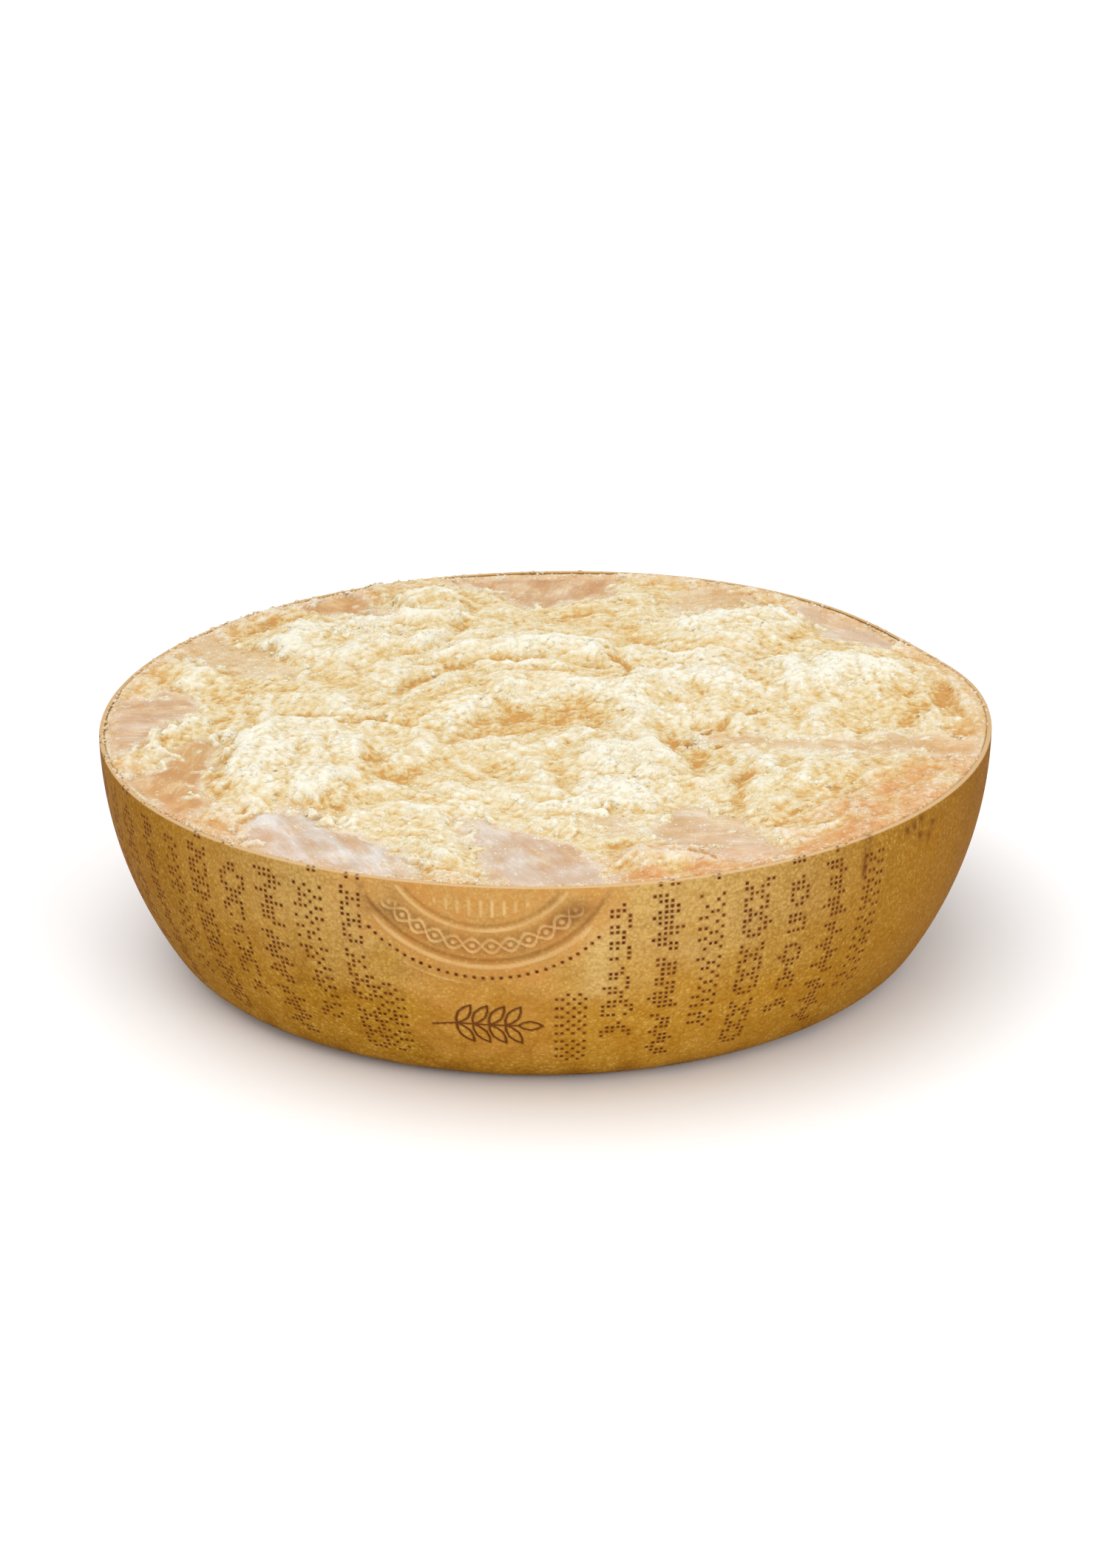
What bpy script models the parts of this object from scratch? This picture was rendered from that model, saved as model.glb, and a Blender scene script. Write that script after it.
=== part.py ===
"""Half of a hard, aged grana-type cheese wheel, split level across its middle, lying on its flat base.

The broken face looks up: crumbly mounds and hollows, with smooth blade cuts that run in from the rim.
X is to the right, Y to the back, Z up, and the origin is the middle of the base. Units are metres.
"""

import math

import bmesh
import bpy
from mathutils import Vector, noise

MM = 0.001

# The half wheel's driving sizes.
RIM_RADIUS = 220 * MM
SIDE_HEIGHT = 114.5 * MM
SIDE_ARC_RADIUS = 192 * MM
BASE_EDGE_RADIUS = 26 * MM

# How finely the solid is faceted.
FACE_CELLS = 58
SIDE_STEPS = 5
BASE_EDGE_STEPS = 4

# The rim's highs and lows, where the split wandered: direction and width in degrees, rise in millimetres.
RIM_SWELLS = (
    {"at": 65, "width": 24, "rise": 1.5},
    {"at": 27, "width": 14, "rise": -4.0},
    {"at": -20, "width": 32, "rise": -0.6},
    {"at": -145, "width": 28, "rise": -1.2},
)
RIM_SETTLE = 45 * MM

# The side is a little out of round: lobes round the wheel, radial swing in millimetres, and direction.
SIDE_LOBES = (
    {"lobes": 2, "swing": 0.9, "at": 35},
    {"lobes": 4, "swing": 0.4, "at": 10},
)

# Mounds and hollows of the broken face: middle, half length, half width and height in millimetres, turn in
# degrees. A crisp form has a steep edge, a soft one slopes from its middle. Each ends a little beyond its
# stated size.
FORM_END = 1.15
FORMS = (
    {"name": "left mound", "at": (-122, -64), "half": (58, 37), "turn": 101, "height": 7.5, "crisp": 0.55},
    {"name": "upper mound", "at": (-106, 108), "half": (66, 34), "turn": 12, "height": 6.5, "crisp": 0.5},
    {"name": "back lump", "at": (-64, 152), "half": (28, 25), "turn": 20, "height": 8.0, "crisp": 0.7},
    {"name": "middle block", "at": (-4, 84), "half": (44, 22), "turn": 8, "height": 6.5, "crisp": 0.74},
    {"name": "back right mass", "at": (94, 122), "half": (40, 27), "turn": 28, "height": 5.5, "crisp": 0.5},
    {"name": "right mass", "at": (146, 54), "half": (38, 33), "turn": -20, "height": 6.5, "crisp": 0.5},
    {"name": "right shoulder", "at": (80, 58), "half": (40, 30), "turn": 70, "height": 4.0, "crisp": 0.35},
    {"name": "front mass", "at": (36, -84), "half": (50, 26), "turn": 78, "height": 5.5, "crisp": 0.5},
    {"name": "front crumble", "at": (-26, -100), "half": (30, 22), "turn": 15, "height": 3.5, "crisp": 0.4},
    {"name": "front rim lump", "at": (58, -184), "half": (28, 17), "turn": 12, "height": 4.5, "crisp": 0.5},
    {"name": "front rib", "at": (-54, -160), "half": (46, 15), "turn": 98, "height": 4.0, "crisp": 0.4},
    {"name": "left rib", "at": (-187, -26), "half": (34, 11), "turn": 50, "height": 4.0, "crisp": 0.3},
    {"name": "rim crumble", "at": (-178, 66), "half": (26, 17), "turn": 80, "height": 3.5, "crisp": 0.4},
    {"name": "right crumble", "at": (128, -86), "half": (44, 20), "turn": 18, "height": 3.5, "crisp": 0.4},
    {"name": "bowl", "at": (-8, 4), "half": (64, 40), "turn": 24, "height": -7.0, "crisp": 0.1},
    {"name": "trough", "at": (72, -34), "half": (64, 22), "turn": 102, "height": -10.0, "crisp": 0.15},
    {"name": "back hollow", "at": (6, 136), "half": (36, 28), "turn": 0, "height": -4.0, "crisp": 0.2},
)

# Long crests and clefts: the line they follow, half width and height in millimetres.
LINES = (
    {
        "name": "swept crest",
        "along": ((-78, -4), (-48, 26), (-22, 48), (6, 57), (38, 45), (62, 17), (74, -8)),
        "half": 11,
        "height": 4.0,
    },
    {
        "name": "cleft outside the crest",
        "along": ((-92, 12), (-77, 38), (-54, 66), (-34, 77), (0, 76), (30, 72)),
        "half": 4.5,
        "height": -4.0,
    },
    {"name": "cleft beside the block", "along": ((36, 104), (42, 86), (41, 62)), "half": 4, "height": -5.0},
    {"name": "block gap", "along": ((-44, 128), (-58, 100), (-62, 78)), "half": 4.5, "height": -3.5},
    {"name": "lump foot", "along": ((-94, 168), (-88, 146), (-60, 136)), "half": 4, "height": -3.5},
    {
        "name": "cleft over the left mound",
        "along": ((-150, 4), (-120, 8), (-88, -8), (-62, -12)),
        "half": 4.5,
        "height": -3.5,
    },
    {"name": "notch", "along": ((84, -96), (98, -82), (128, -62), (170, -48)), "half": 4, "height": -3.0},
)

# Smooth cuts left by a broad blade pushed in all round: the entry direction on the rim in degrees, the tip,
# the half width at the rim and at the tip, and how far each end lies under the rim, in millimetres.
BLADE_CUTS = (
    {"name": "front left", "entry": -116, "tip": (-130, -110), "half": (32, 26), "sink": (2.0, 2.5)},
    {"name": "front", "entry": -91, "tip": (-34, -120), "half": (36, 7), "sink": (2.0, 3.5)},
    {"name": "front right", "entry": -46, "tip": (72, -108), "half": (30, 24), "sink": (2.0, 3.5)},
    {"name": "left", "entry": -157, "tip": (-164, -20), "half": (22, 9), "sink": (2.0, 2.0)},
    {"name": "upper left", "entry": 178, "tip": (-168, 32), "half": (30, 12), "sink": (2.0, 2.0)},
    {"name": "left back streak", "entry": 149, "tip": (-84, 64), "half": (12, 9), "sink": (2.0, 1.0)},
    {"name": "back left", "entry": 124, "tip": (-62, 146), "half": (14, 7), "sink": (2.0, 3.0)},
    {"name": "back", "entry": 91, "tip": (8, 166), "half": (40, 24), "sink": (2.0, 2.5)},
    {"name": "back right", "entry": 61, "tip": (72, 150), "half": (20, 16), "sink": (2.0, 2.5)},
    {"name": "right back", "entry": 39, "tip": (134, 120), "half": (26, 18), "sink": (2.0, 2.0)},
    {"name": "right", "entry": -4, "tip": (90, -22), "half": (15, 11), "sink": (2.0, 4.0)},
)
CUT_EDGE = 9.0

# The break's own roughness, as size and depth in millimetres, drawn out along a slow swirl.
SWIRL_CENTRE = (12.0, -30.0)
SWIRL_REACH = 9.0
SWIRL_SAMPLES = 5
SWIRL_STRIDE = 0.22
SWIRL_GAIN = 1.6
CRAGS = (
    {"size": 46.0, "depth": 3.4, "ridged": True, "layer": 0.0},
    {"size": 21.0, "depth": 2.2, "ridged": True, "layer": 7.3},
    {"size": 10.0, "depth": 1.2, "ridged": False, "layer": 14.6},
)
RIDGE_MEAN = 0.45

# The forms' outlines wander by this much, over this size, in millimetres.
WANDER_SIZE = 30.0
WANDER_REACH = 7.0
WANDER_LAYER = 3.1

# Relief fades out over this band inside the rim, so that the rind keeps a clean edge.
RIM_BAND = 16.0
CUT_RIM_BAND = 4.0

PASTE_COLOUR = (0.86, 0.66, 0.34, 1.0)
RIND_COLOUR = (0.40, 0.18, 0.025, 1.0)


def clear_scene():
    for old in list(bpy.data.objects):
        bpy.data.objects.remove(old)


def ease(low, high, value):
    """0 below low, 1 above high, and a smooth turn between them."""
    share = min(1.0, max(0.0, (value - low) / (high - low)))
    return share * share * (3 - 2 * share)


def swell_rise(angle):
    """How far the rim stands above or below its mean level in this direction, in metres."""
    total = 0.0
    for swell in RIM_SWELLS:
        away = (math.degrees(angle) - swell["at"] + 180) % 360 - 180
        total += swell["rise"] * math.exp(-((away / swell["width"]) ** 2))
    return total * MM


def lobe_swing(angle):
    """How far the side stands out of a true circle in this direction, in metres."""
    total = 0.0
    for lobe in SIDE_LOBES:
        total += lobe["swing"] * math.cos(lobe["lobes"] * (angle - math.radians(lobe["at"])))
    return total * MM


def form_height(form, x, y):
    """Height that one mound or hollow adds at a point of the face, in millimetres."""
    turn = math.radians(form["turn"])
    dx, dy = x - form["at"][0], y - form["at"][1]
    along = (dx * math.cos(turn) + dy * math.sin(turn)) / form["half"][0]
    across = (dy * math.cos(turn) - dx * math.sin(turn)) / form["half"][1]
    return form["height"] * (1 - ease(form["crisp"], FORM_END, math.hypot(along, across)))


def line_distance(points, x, y):
    """Distance from a point to a line of points, in the points' own units."""
    nearest = math.inf
    for (ax, ay), (bx, by) in zip(points, points[1:]):
        dx, dy = bx - ax, by - ay
        share = ((x - ax) * dx + (y - ay) * dy) / (dx * dx + dy * dy)
        share = min(1.0, max(0.0, share))
        nearest = min(nearest, math.hypot(x - ax - share * dx, y - ay - share * dy))
    return nearest


def cut_cover(cut, x, y):
    """How fully a blade cut covers a point, 0 to 1, and the depth of its floor, in millimetres."""
    entry = math.radians(cut["entry"])
    ex, ey = RIM_RADIUS / MM * math.cos(entry), RIM_RADIUS / MM * math.sin(entry)
    dx, dy = cut["tip"][0] - ex, cut["tip"][1] - ey
    length = math.hypot(dx, dy)
    along = ((x - ex) * dx + (y - ey) * dy) / length
    across = abs((y - ey) * dx - (x - ex) * dy) / length
    share = min(1.0, max(0.0, along / length))
    half = cut["half"][0] + (cut["half"][1] - cut["half"][0]) * share
    inside = min(half - across, length - along)
    floor = cut["sink"][0] + (cut["sink"][1] - cut["sink"][0]) * share
    return ease(-CUT_EDGE / 2, CUT_EDGE / 2, inside), -floor


def swirled_noise(x, y, size, layer):
    """Noise of about -1 to 1, drawn out along circles round the swirl's centre."""
    dx, dy = x - SWIRL_CENTRE[0], y - SWIRL_CENTRE[1]
    reach = math.hypot(dx, dy) + SWIRL_REACH
    tx, ty = -dy / reach, dx / reach
    total = 0.0
    for step in range(SWIRL_SAMPLES):
        away = (step - (SWIRL_SAMPLES - 1) / 2) * size * SWIRL_STRIDE
        total += noise.noise(Vector(((x + away * tx) / size, (y + away * ty) / size, layer)))
    return SWIRL_GAIN * total / SWIRL_SAMPLES


def crag_height(x, y):
    """Roughness of the break, in millimetres: ridged where it is coarse, plain where it is fine."""
    total = 0.0
    for crag in CRAGS:
        wave = swirled_noise(x, y, crag["size"], crag["layer"])
        if crag["ridged"]:
            wave = 1 - 2 * abs(wave) - RIDGE_MEAN
        total += crag["depth"] * wave
    return total


def face_height(x, y):
    """Height of the broken face above the mean split level at a point given in metres, in metres."""
    px, py = x / MM, y / MM
    from_rim = RIM_RADIUS / MM - math.hypot(px, py)
    wander = noise.noise_vector(Vector((px / WANDER_SIZE, py / WANDER_SIZE, WANDER_LAYER)))
    wx, wy = px + WANDER_REACH * wander.x, py + WANDER_REACH * wander.y
    height = crag_height(px, py)
    for form in FORMS:
        height += form_height(form, wx, wy)
    for line in LINES:
        away = line_distance(line["along"], wx, wy) / line["half"]
        height += line["height"] * math.exp(-away * away)
    height *= ease(0.0, RIM_BAND, from_rim)
    for cut in BLADE_CUTS:
        cover, floor = cut_cover(cut, wx, wy)
        height += cover * (floor * ease(0.0, CUT_RIM_BAND, from_rim) - height)
    angle = math.atan2(y, x)
    settle = ease(RIM_RADIUS - RIM_SETTLE, RIM_RADIUS, math.hypot(x, y))
    return height * MM + swell_rise(angle) * settle


def disc_point(a, b):
    """Maps a point of the square from -1 to 1 to the unit disc, keeping every cell's area equal."""
    if a == 0 and b == 0:
        return 0.0, 0.0
    if abs(a) > abs(b):
        radius, angle = a, math.pi / 4 * b / a
    else:
        radius, angle = b, math.pi / 2 - math.pi / 4 * a / b
    return radius * math.cos(angle), radius * math.sin(angle)


def side_profile():
    """Radius and height of the rings below the rim: the bulged side, then the rounded edge of the base."""
    turn = math.asin((SIDE_HEIGHT - BASE_EDGE_RADIUS) / (SIDE_ARC_RADIUS - BASE_EDGE_RADIUS))
    rings = []
    for step in range(1, SIDE_STEPS + 1):
        angle = turn * step / SIDE_STEPS
        inset = SIDE_ARC_RADIUS * (1 - math.cos(angle))
        rings.append((RIM_RADIUS - inset, SIDE_HEIGHT - SIDE_ARC_RADIUS * math.sin(angle)))
    edge_middle = RIM_RADIUS - SIDE_ARC_RADIUS + (SIDE_ARC_RADIUS - BASE_EDGE_RADIUS) * math.cos(turn)
    for step in range(1, BASE_EDGE_STEPS + 1):
        angle = turn + (math.pi / 2 - turn) * step / BASE_EDGE_STEPS
        height = BASE_EDGE_RADIUS * (1 - math.sin(angle)) if step < BASE_EDGE_STEPS else 0.0
        rings.append((edge_middle + BASE_EDGE_RADIUS * math.cos(angle), height))
    return rings


def wall_point(angle, radius, height):
    """A point of the side: out of round, and lifted with the rim's swells where it is near the rim."""
    radius += lobe_swing(angle)
    lift = swell_rise(angle) * (height / SIDE_HEIGHT) ** 3
    return Vector((radius * math.cos(angle), radius * math.sin(angle), height + lift))


def add_broken_face(bm):
    """The top of the solid: an even grid drawn to a disc and raised into mounds, cuts and crags."""
    bmesh.ops.create_grid(bm, x_segments=FACE_CELLS, y_segments=FACE_CELLS, size=1.0)
    for vert in bm.verts:
        ux, uy = disc_point(vert.co.x, vert.co.y)
        angle = math.atan2(uy, ux)
        radius = RIM_RADIUS + lobe_swing(angle)
        x, y = ux * RIM_RADIUS, uy * RIM_RADIUS
        vert.co = Vector((ux * radius, uy * radius, SIDE_HEIGHT + face_height(x, y)))


def add_side_and_base(bm):
    """The side and base: the rim is drawn down ring by ring, and the last ring is closed flat."""
    rim = [edge for edge in bm.edges if edge.is_boundary]
    for radius, height in side_profile():
        drawn = bmesh.ops.extrude_edge_only(bm, edges=rim)["geom"]
        rim = [item for item in drawn if isinstance(item, bmesh.types.BMEdge)]
        for vert in [item for item in drawn if isinstance(item, bmesh.types.BMVert)]:
            vert.co = wall_point(math.atan2(vert.co.y, vert.co.x), radius, height)
    bmesh.ops.contextual_create(bm, geom=rim)


def make_material(name, colour, roughness):
    material = bpy.data.materials.new(name)
    material.use_nodes = True
    shader = material.node_tree.nodes["Principled BSDF"]
    shader.inputs["Base Color"].default_value = colour
    shader.inputs["Roughness"].default_value = roughness
    shader.inputs["Metallic"].default_value = 0.0
    return material


def make_half_wheel():
    bm = bmesh.new()
    add_broken_face(bm)
    face_count = len(bm.faces)
    add_side_and_base(bm)
    bm.faces.ensure_lookup_table()
    for face in bm.faces[face_count:]:
        face.material_index = 1
    bmesh.ops.recalc_face_normals(bm, faces=bm.faces)
    mesh = bpy.data.meshes.new("cheese_half_wheel")
    bm.to_mesh(mesh)
    bm.free()
    mesh.materials.append(make_material("paste", PASTE_COLOUR, 0.6))
    mesh.materials.append(make_material("rind", RIND_COLOUR, 0.5))
    mesh.shade_smooth()
    wheel = bpy.data.objects.new("cheese_half_wheel", mesh)
    bpy.context.scene.collection.objects.link(wheel)
    return wheel


clear_scene()
make_half_wheel()
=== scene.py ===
"""Half of a hard, aged grana-type cheese wheel, split level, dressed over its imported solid.

The solid gives the place and the size. Over it go the rind with its pricked columns and pressed medallion,
the broken paste with its blade cuts, and the grains that stand on the break. X is to the right, Y to the
back, Z up and the origin is the middle of the base. Blender's own units are metres; here every number of
this file is in millimetres and degrees unless its name says otherwise.
"""

import logging
import math
from collections.abc import Callable, Iterable, Sequence
from dataclasses import dataclass, field
from enum import Enum

import bmesh
import bpy
import numpy as np
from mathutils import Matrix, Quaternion, Vector, noise

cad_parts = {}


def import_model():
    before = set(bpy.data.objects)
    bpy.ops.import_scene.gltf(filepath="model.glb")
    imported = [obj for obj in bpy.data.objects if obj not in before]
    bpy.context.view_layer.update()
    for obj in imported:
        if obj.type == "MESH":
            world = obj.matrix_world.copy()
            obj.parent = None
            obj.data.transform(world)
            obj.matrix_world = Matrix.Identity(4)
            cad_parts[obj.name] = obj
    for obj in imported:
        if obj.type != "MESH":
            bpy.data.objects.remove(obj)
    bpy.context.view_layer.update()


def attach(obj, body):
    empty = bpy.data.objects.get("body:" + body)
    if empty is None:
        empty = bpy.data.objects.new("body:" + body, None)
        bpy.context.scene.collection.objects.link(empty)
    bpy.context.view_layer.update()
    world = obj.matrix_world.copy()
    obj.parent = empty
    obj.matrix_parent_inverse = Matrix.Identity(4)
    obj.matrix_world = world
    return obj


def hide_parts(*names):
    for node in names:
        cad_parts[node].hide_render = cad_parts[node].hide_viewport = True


LOG = logging.getLogger("cheese")
MM = 0.001
NODE = "cheese_half_wheel"
BODY = "root"
STUDIO_GAIN = 1.2

Colour = tuple[float, float, float, float]
Point = tuple[float, float]
Noise = Callable[[Sequence[float]], float]
Socket = bpy.types.NodeSocket


def tint(red: int, green: int, blue: int) -> Colour:
    """A colour as it shows in the studio's light, from 0 to 255, as the linear values that a shader takes.

    Args:
        red: Red share.
        green: Green share.
        blue: Blue share.

    Returns:
        Linear red, green, blue and an alpha of 1.
    """
    linear = []
    for value in (red, green, blue):
        share = value / 255
        light = share / 12.92 if share <= 0.04045 else ((share + 0.055) / 1.055) ** 2.4
        linear.append(light / STUDIO_GAIN)
    return linear[0], linear[1], linear[2], 1.0


def ease(low: float, high: float, value: np.ndarray) -> np.ndarray:
    """0 at low, 1 at high and a smooth turn between them, flat beyond both; low may be the greater."""
    share = np.clip((value - low) / (high - low), 0.0, 1.0)
    return share * share * (3 - 2 * share)


def bell(away: np.ndarray, width: float, power: int = 2) -> np.ndarray:
    """1 where away is nothing, less to both sides over that width; a higher power is squarer."""
    return np.exp(-((away / width) ** power))


def sampled(source: Noise, x: np.ndarray, y: np.ndarray, size: float, layer: float) -> np.ndarray:
    """Reads a noise at many points of the plan.

    Args:
        source: A noise function of one point.
        x: Plan positions across.
        y: Plan positions to the back.
        size: Size of the noise's features.
        layer: Which slice of the noise is read, so that two readings differ.

    Returns:
        The noise's value at each point.
    """
    return np.fromiter((source((a, b, layer)) for a, b in zip(x / size, y / size)), float, len(x))


def smoothed(grid: np.ndarray, reach: int) -> np.ndarray:
    """A square of heights, blurred by a bell curve of that many cells.

    Args:
        grid: The heights.
        reach: The curve's width in cells.

    Returns:
        The blurred square.
    """
    steps = np.arange(-3 * reach, 3 * reach + 1)
    curve = np.exp(-0.5 * (steps / reach) ** 2)
    curve /= curve.sum()
    padded = np.pad(grid, 3 * reach, mode="edge")
    rows = np.apply_along_axis(np.convolve, 1, padded, curve, mode="valid")
    return np.apply_along_axis(np.convolve, 0, rows, curve, mode="valid")


# The wheel's shape


@dataclass(frozen=True)
class Mound:
    """A mound or hollow of the break: middle, half sizes, turn, height, steepness of its edge and tone; the
    tone is partly the paste's own and partly painted light on mounds and painted shade in hollows.
    """

    name: str
    at: Point
    half: Point
    turn: float
    height: float
    crisp: float
    tone: float = 0.0

    def cover(self, x: np.ndarray, y: np.ndarray) -> np.ndarray:
        """How fully the form covers each point, 0 to 1.

        Args:
            x: Plan positions across.
            y: Plan positions to the back.

        Returns:
            The share at each point.
        """
        turn = math.radians(self.turn)
        dx, dy = x - self.at[0], y - self.at[1]
        along = (dx * math.cos(turn) + dy * math.sin(turn)) / self.half[0]
        across = (dy * math.cos(turn) - dx * math.sin(turn)) / self.half[1]
        return 1 - ease(self.crisp, 1.15, np.hypot(along, across))


@dataclass(frozen=True)
class Crease:
    """A long crest or cleft: the line it follows, half width, height and tone; the tone is partly the
    paste's own and partly painted light on crests and painted shade in clefts.
    """

    name: str
    along: tuple[Point, ...]
    half: float
    height: float
    tone: float = 0.0

    def away(self, x: np.ndarray, y: np.ndarray) -> np.ndarray:
        """Distance of each point from the line.

        Args:
            x: Plan positions across.
            y: Plan positions to the back.

        Returns:
            The distances in millimetres.
        """
        nearest = np.full(len(x), np.inf)
        for (ax, ay), (bx, by) in zip(self.along, self.along[1:]):
            dx, dy = bx - ax, by - ay
            share = np.clip(((x - ax) * dx + (y - ay) * dy) / (dx * dx + dy * dy), 0.0, 1.0)
            nearest = np.minimum(nearest, np.hypot(x - ax - share * dx, y - ay - share * dy))
        return nearest


@dataclass(frozen=True)
class BladeCut:
    """A smooth cut left by a blade: its outline, the blade's heading, its depth, its glare (a pale bluish
    painted reflection) and bareness.
    """

    name: str
    outline: tuple[Point, ...]
    heading: float
    sink: float
    glare: float
    bare: float = 1.0

    def inside(self, x: np.ndarray, y: np.ndarray) -> np.ndarray:
        """How far each point lies inside the outline, below zero outside it.

        Args:
            x: Plan positions across.
            y: Plan positions to the back.

        Returns:
            The depth inside, in millimetres.
        """
        away = np.full(len(x), np.inf)
        within = np.zeros(len(x), bool)
        for (ax, ay), (bx, by) in zip(self.outline, self.outline[1:] + self.outline[:1]):
            dx, dy = bx - ax, by - ay
            share = np.clip(((x - ax) * dx + (y - ay) * dy) / (dx * dx + dy * dy), 0.0, 1.0)
            away = np.minimum(away, np.hypot(x - ax - share * dx, y - ay - share * dy))
            if dy:
                within ^= ((ay > y) != (by > y)) & (x < ax + (y - ay) / dy * dx)
        return np.where(within, away, -away)

    def run(self, x: np.ndarray, y: np.ndarray) -> tuple[np.ndarray, np.ndarray]:
        """Lengths along and across the way that the blade went."""
        turn = math.radians(self.heading)
        return x * math.cos(turn) + y * math.sin(turn), y * math.cos(turn) - x * math.sin(turn)


@dataclass(frozen=True)
class Swirl:
    """The slow whirl that the break follows: its middle, and how far round it a noise is drawn out."""

    centre: Point = (12.0, -30.0)
    still: float = 9.0

    def drawn(
        self,
        source: Noise,
        x: np.ndarray,
        y: np.ndarray,
        size: float,
        layer: float,
        samples: int = 5,
        stride: float = 0.22,
    ) -> np.ndarray:
        """Reads a noise as the mean of points set along the whirl, so that it runs out into streaks.

        Args:
            source: A noise function of one point.
            x: Plan positions across.
            y: Plan positions to the back.
            size: Size of the noise's features.
            layer: Which slice of the noise is read.
            samples: Points in each mean.
            stride: Step between them, as a share of the size.

        Returns:
            The drawn out noise at each point.
        """
        dx, dy = x - self.centre[0], y - self.centre[1]
        reach = np.hypot(dx, dy) + self.still
        tx, ty = -dy / reach, dx / reach
        total = np.zeros(len(x))
        for step in range(samples):
            away = (step - (samples - 1) / 2) * size * stride
            total += sampled(source, x + away * tx, y + away * ty, size, layer)
        return total / samples


# Each mound's last number is its tone: partly the paste's own, partly painted light on mounds and painted
# shade in hollows.
MOUNDS = (
    Mound("left mound", (-122, -64), (58, 37), 101, 6.5, 0.66, 0.20),
    Mound("upper mound", (-106, 108), (66, 34), 12, 5.0, 0.5, 0.16),
    Mound("back lump", (-64, 152), (28, 25), 20, 8.0, 0.7, 0.0),
    Mound("middle block", (-4, 84), (44, 22), 8, 5.0, 0.74, 0.04),
    Mound("back right mass", (94, 122), (40, 27), 28, 4.5, 0.5, 0.18),
    Mound("right mass", (146, 54), (38, 33), -20, 5.0, 0.5, 0.30),
    Mound("right shoulder", (80, 58), (40, 30), 70, 3.0, 0.35, 0.16),
    Mound("front mass", (36, -84), (50, 26), 78, 4.5, 0.5, 0.22),
    Mound("front crumble", (-26, -100), (30, 22), 15, 3.0, 0.4, 0.04),
    Mound("front rim lump", (58, -184), (28, 17), 12, 3.5, 0.5, 0.08),
    Mound("front rib", (-54, -160), (46, 15), 98, 3.0, 0.4, 0.10),
    Mound("left rib", (-187, -26), (34, 11), 50, 3.5, 0.4, 0.12),
    Mound("rim crumble", (-178, 66), (26, 17), 80, 3.0, 0.4, 0.05),
    Mound("right crumble", (128, -86), (44, 20), 18, 3.0, 0.4, 0.02),
    Mound("bowl", (-8, 4), (64, 40), 24, -5.5, 0.1, -0.36),
    Mound("trough", (72, -34), (64, 22), 102, -5.0, 0.15, -0.14),
    Mound("back hollow", (6, 136), (36, 28), 0, -3.0, 0.2, -0.06),
)

# The bright lines and the tan, gold and brown lines paint tone along slopes and clefts: partly the paste's
# own tone, partly painted light on slopes that face the lamps and painted shade in the clefts.
CREASES = (
    Crease("swept crest", ((-78, -4), (-48, 26), (-22, 48), (6, 57), (38, 45), (62, 17), (74, -8)), 11, 3.2),
    Crease("outer cleft", ((-92, 12), (-77, 38), (-54, 66), (-34, 77), (0, 76), (30, 72)), 4.5, -3.0),
    Crease("cleft beside the block", ((36, 104), (42, 86), (41, 62)), 4, -2.5),
    Crease("block gap", ((-44, 128), (-58, 100), (-62, 78)), 4.5, -2.4),
    Crease("lump foot", ((-94, 168), (-88, 146), (-60, 136)), 4, -2.6),
    Crease("cleft over the left mound", ((-150, 4), (-120, 8), (-88, -8), (-62, -12)), 4.5, -2.4),
    Crease("notch", ((84, -96), (98, -82), (128, -62), (170, -48)), 4, -2.2),
    Crease("bright sweep", ((-51, 5), (-25, 26), (4, 34), (23, 41), (56, 8), (67, -2)), 9, 1.0, 0.38),
    Crease("bright back right", ((57, 57), (90, 40), (113, 34)), 9, 1.0, 0.3),
    Crease("bright far right", ((79, 130), (103, 141), (122, 141)), 9, 1.0, 0.16),
    Crease("bright upper left", ((-137, 99), (-115, 116), (-87, 127)), 9, 1.0, 0.16),
    Crease("bright slope", ((-84, 65), (-64, 81), (-45, 109), (-26, 132)), 8, 0.8, 0.14),
    Crease("bright block", ((-15, 91), (8, 91), (33, 85)), 8, 0.6, 0.2),
    Crease("bright right", ((146, 55), (167, 60), (185, 54)), 12, 0.6, 0.42),
    Crease("bright front", ((4, -124), (21, -105), (39, -115)), 9, 0.8, 0.2),
    Crease("bright front left", ((-33, -123), (-7, -119), (16, -124)), 7, 0.6, 0.14),
    Crease("tan under the sweep", ((-102, -15), (-73, -5), (-51, 31), (-37, 47)), 6, -1.6, -0.3),
    Crease("tan left", ((-168, 18), (-138, 44), (-112, 60), (-89, 43)), 9, -1.2, -0.2),
    Crease("tan front left", ((-95, -75), (-70, -80), (-42, -76)), 12, -1.2, -0.2),
    Crease("gold cleft", ((71, -28), (88, -8), (104, 2)), 3, -1.6, -0.4),
    Crease("gold corner", ((33, 90), (41, 74), (39, 46)), 3, -1.4, -0.45),
    Crease("brown cleft", ((180, -9), (196, 27), (202, 54)), 5, -1.2, -0.14),
    Crease("brown front cleft", ((89, -120), (93, -97), (103, -78)), 5, -2.0, -0.35),
    Crease("tan back", ((-15, 198), (9, 149), (40, 125)), 10, -0.8, -0.14),
)

# Each cut's glare is a painted reflection: how far its face is painted pale bluish white.
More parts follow.
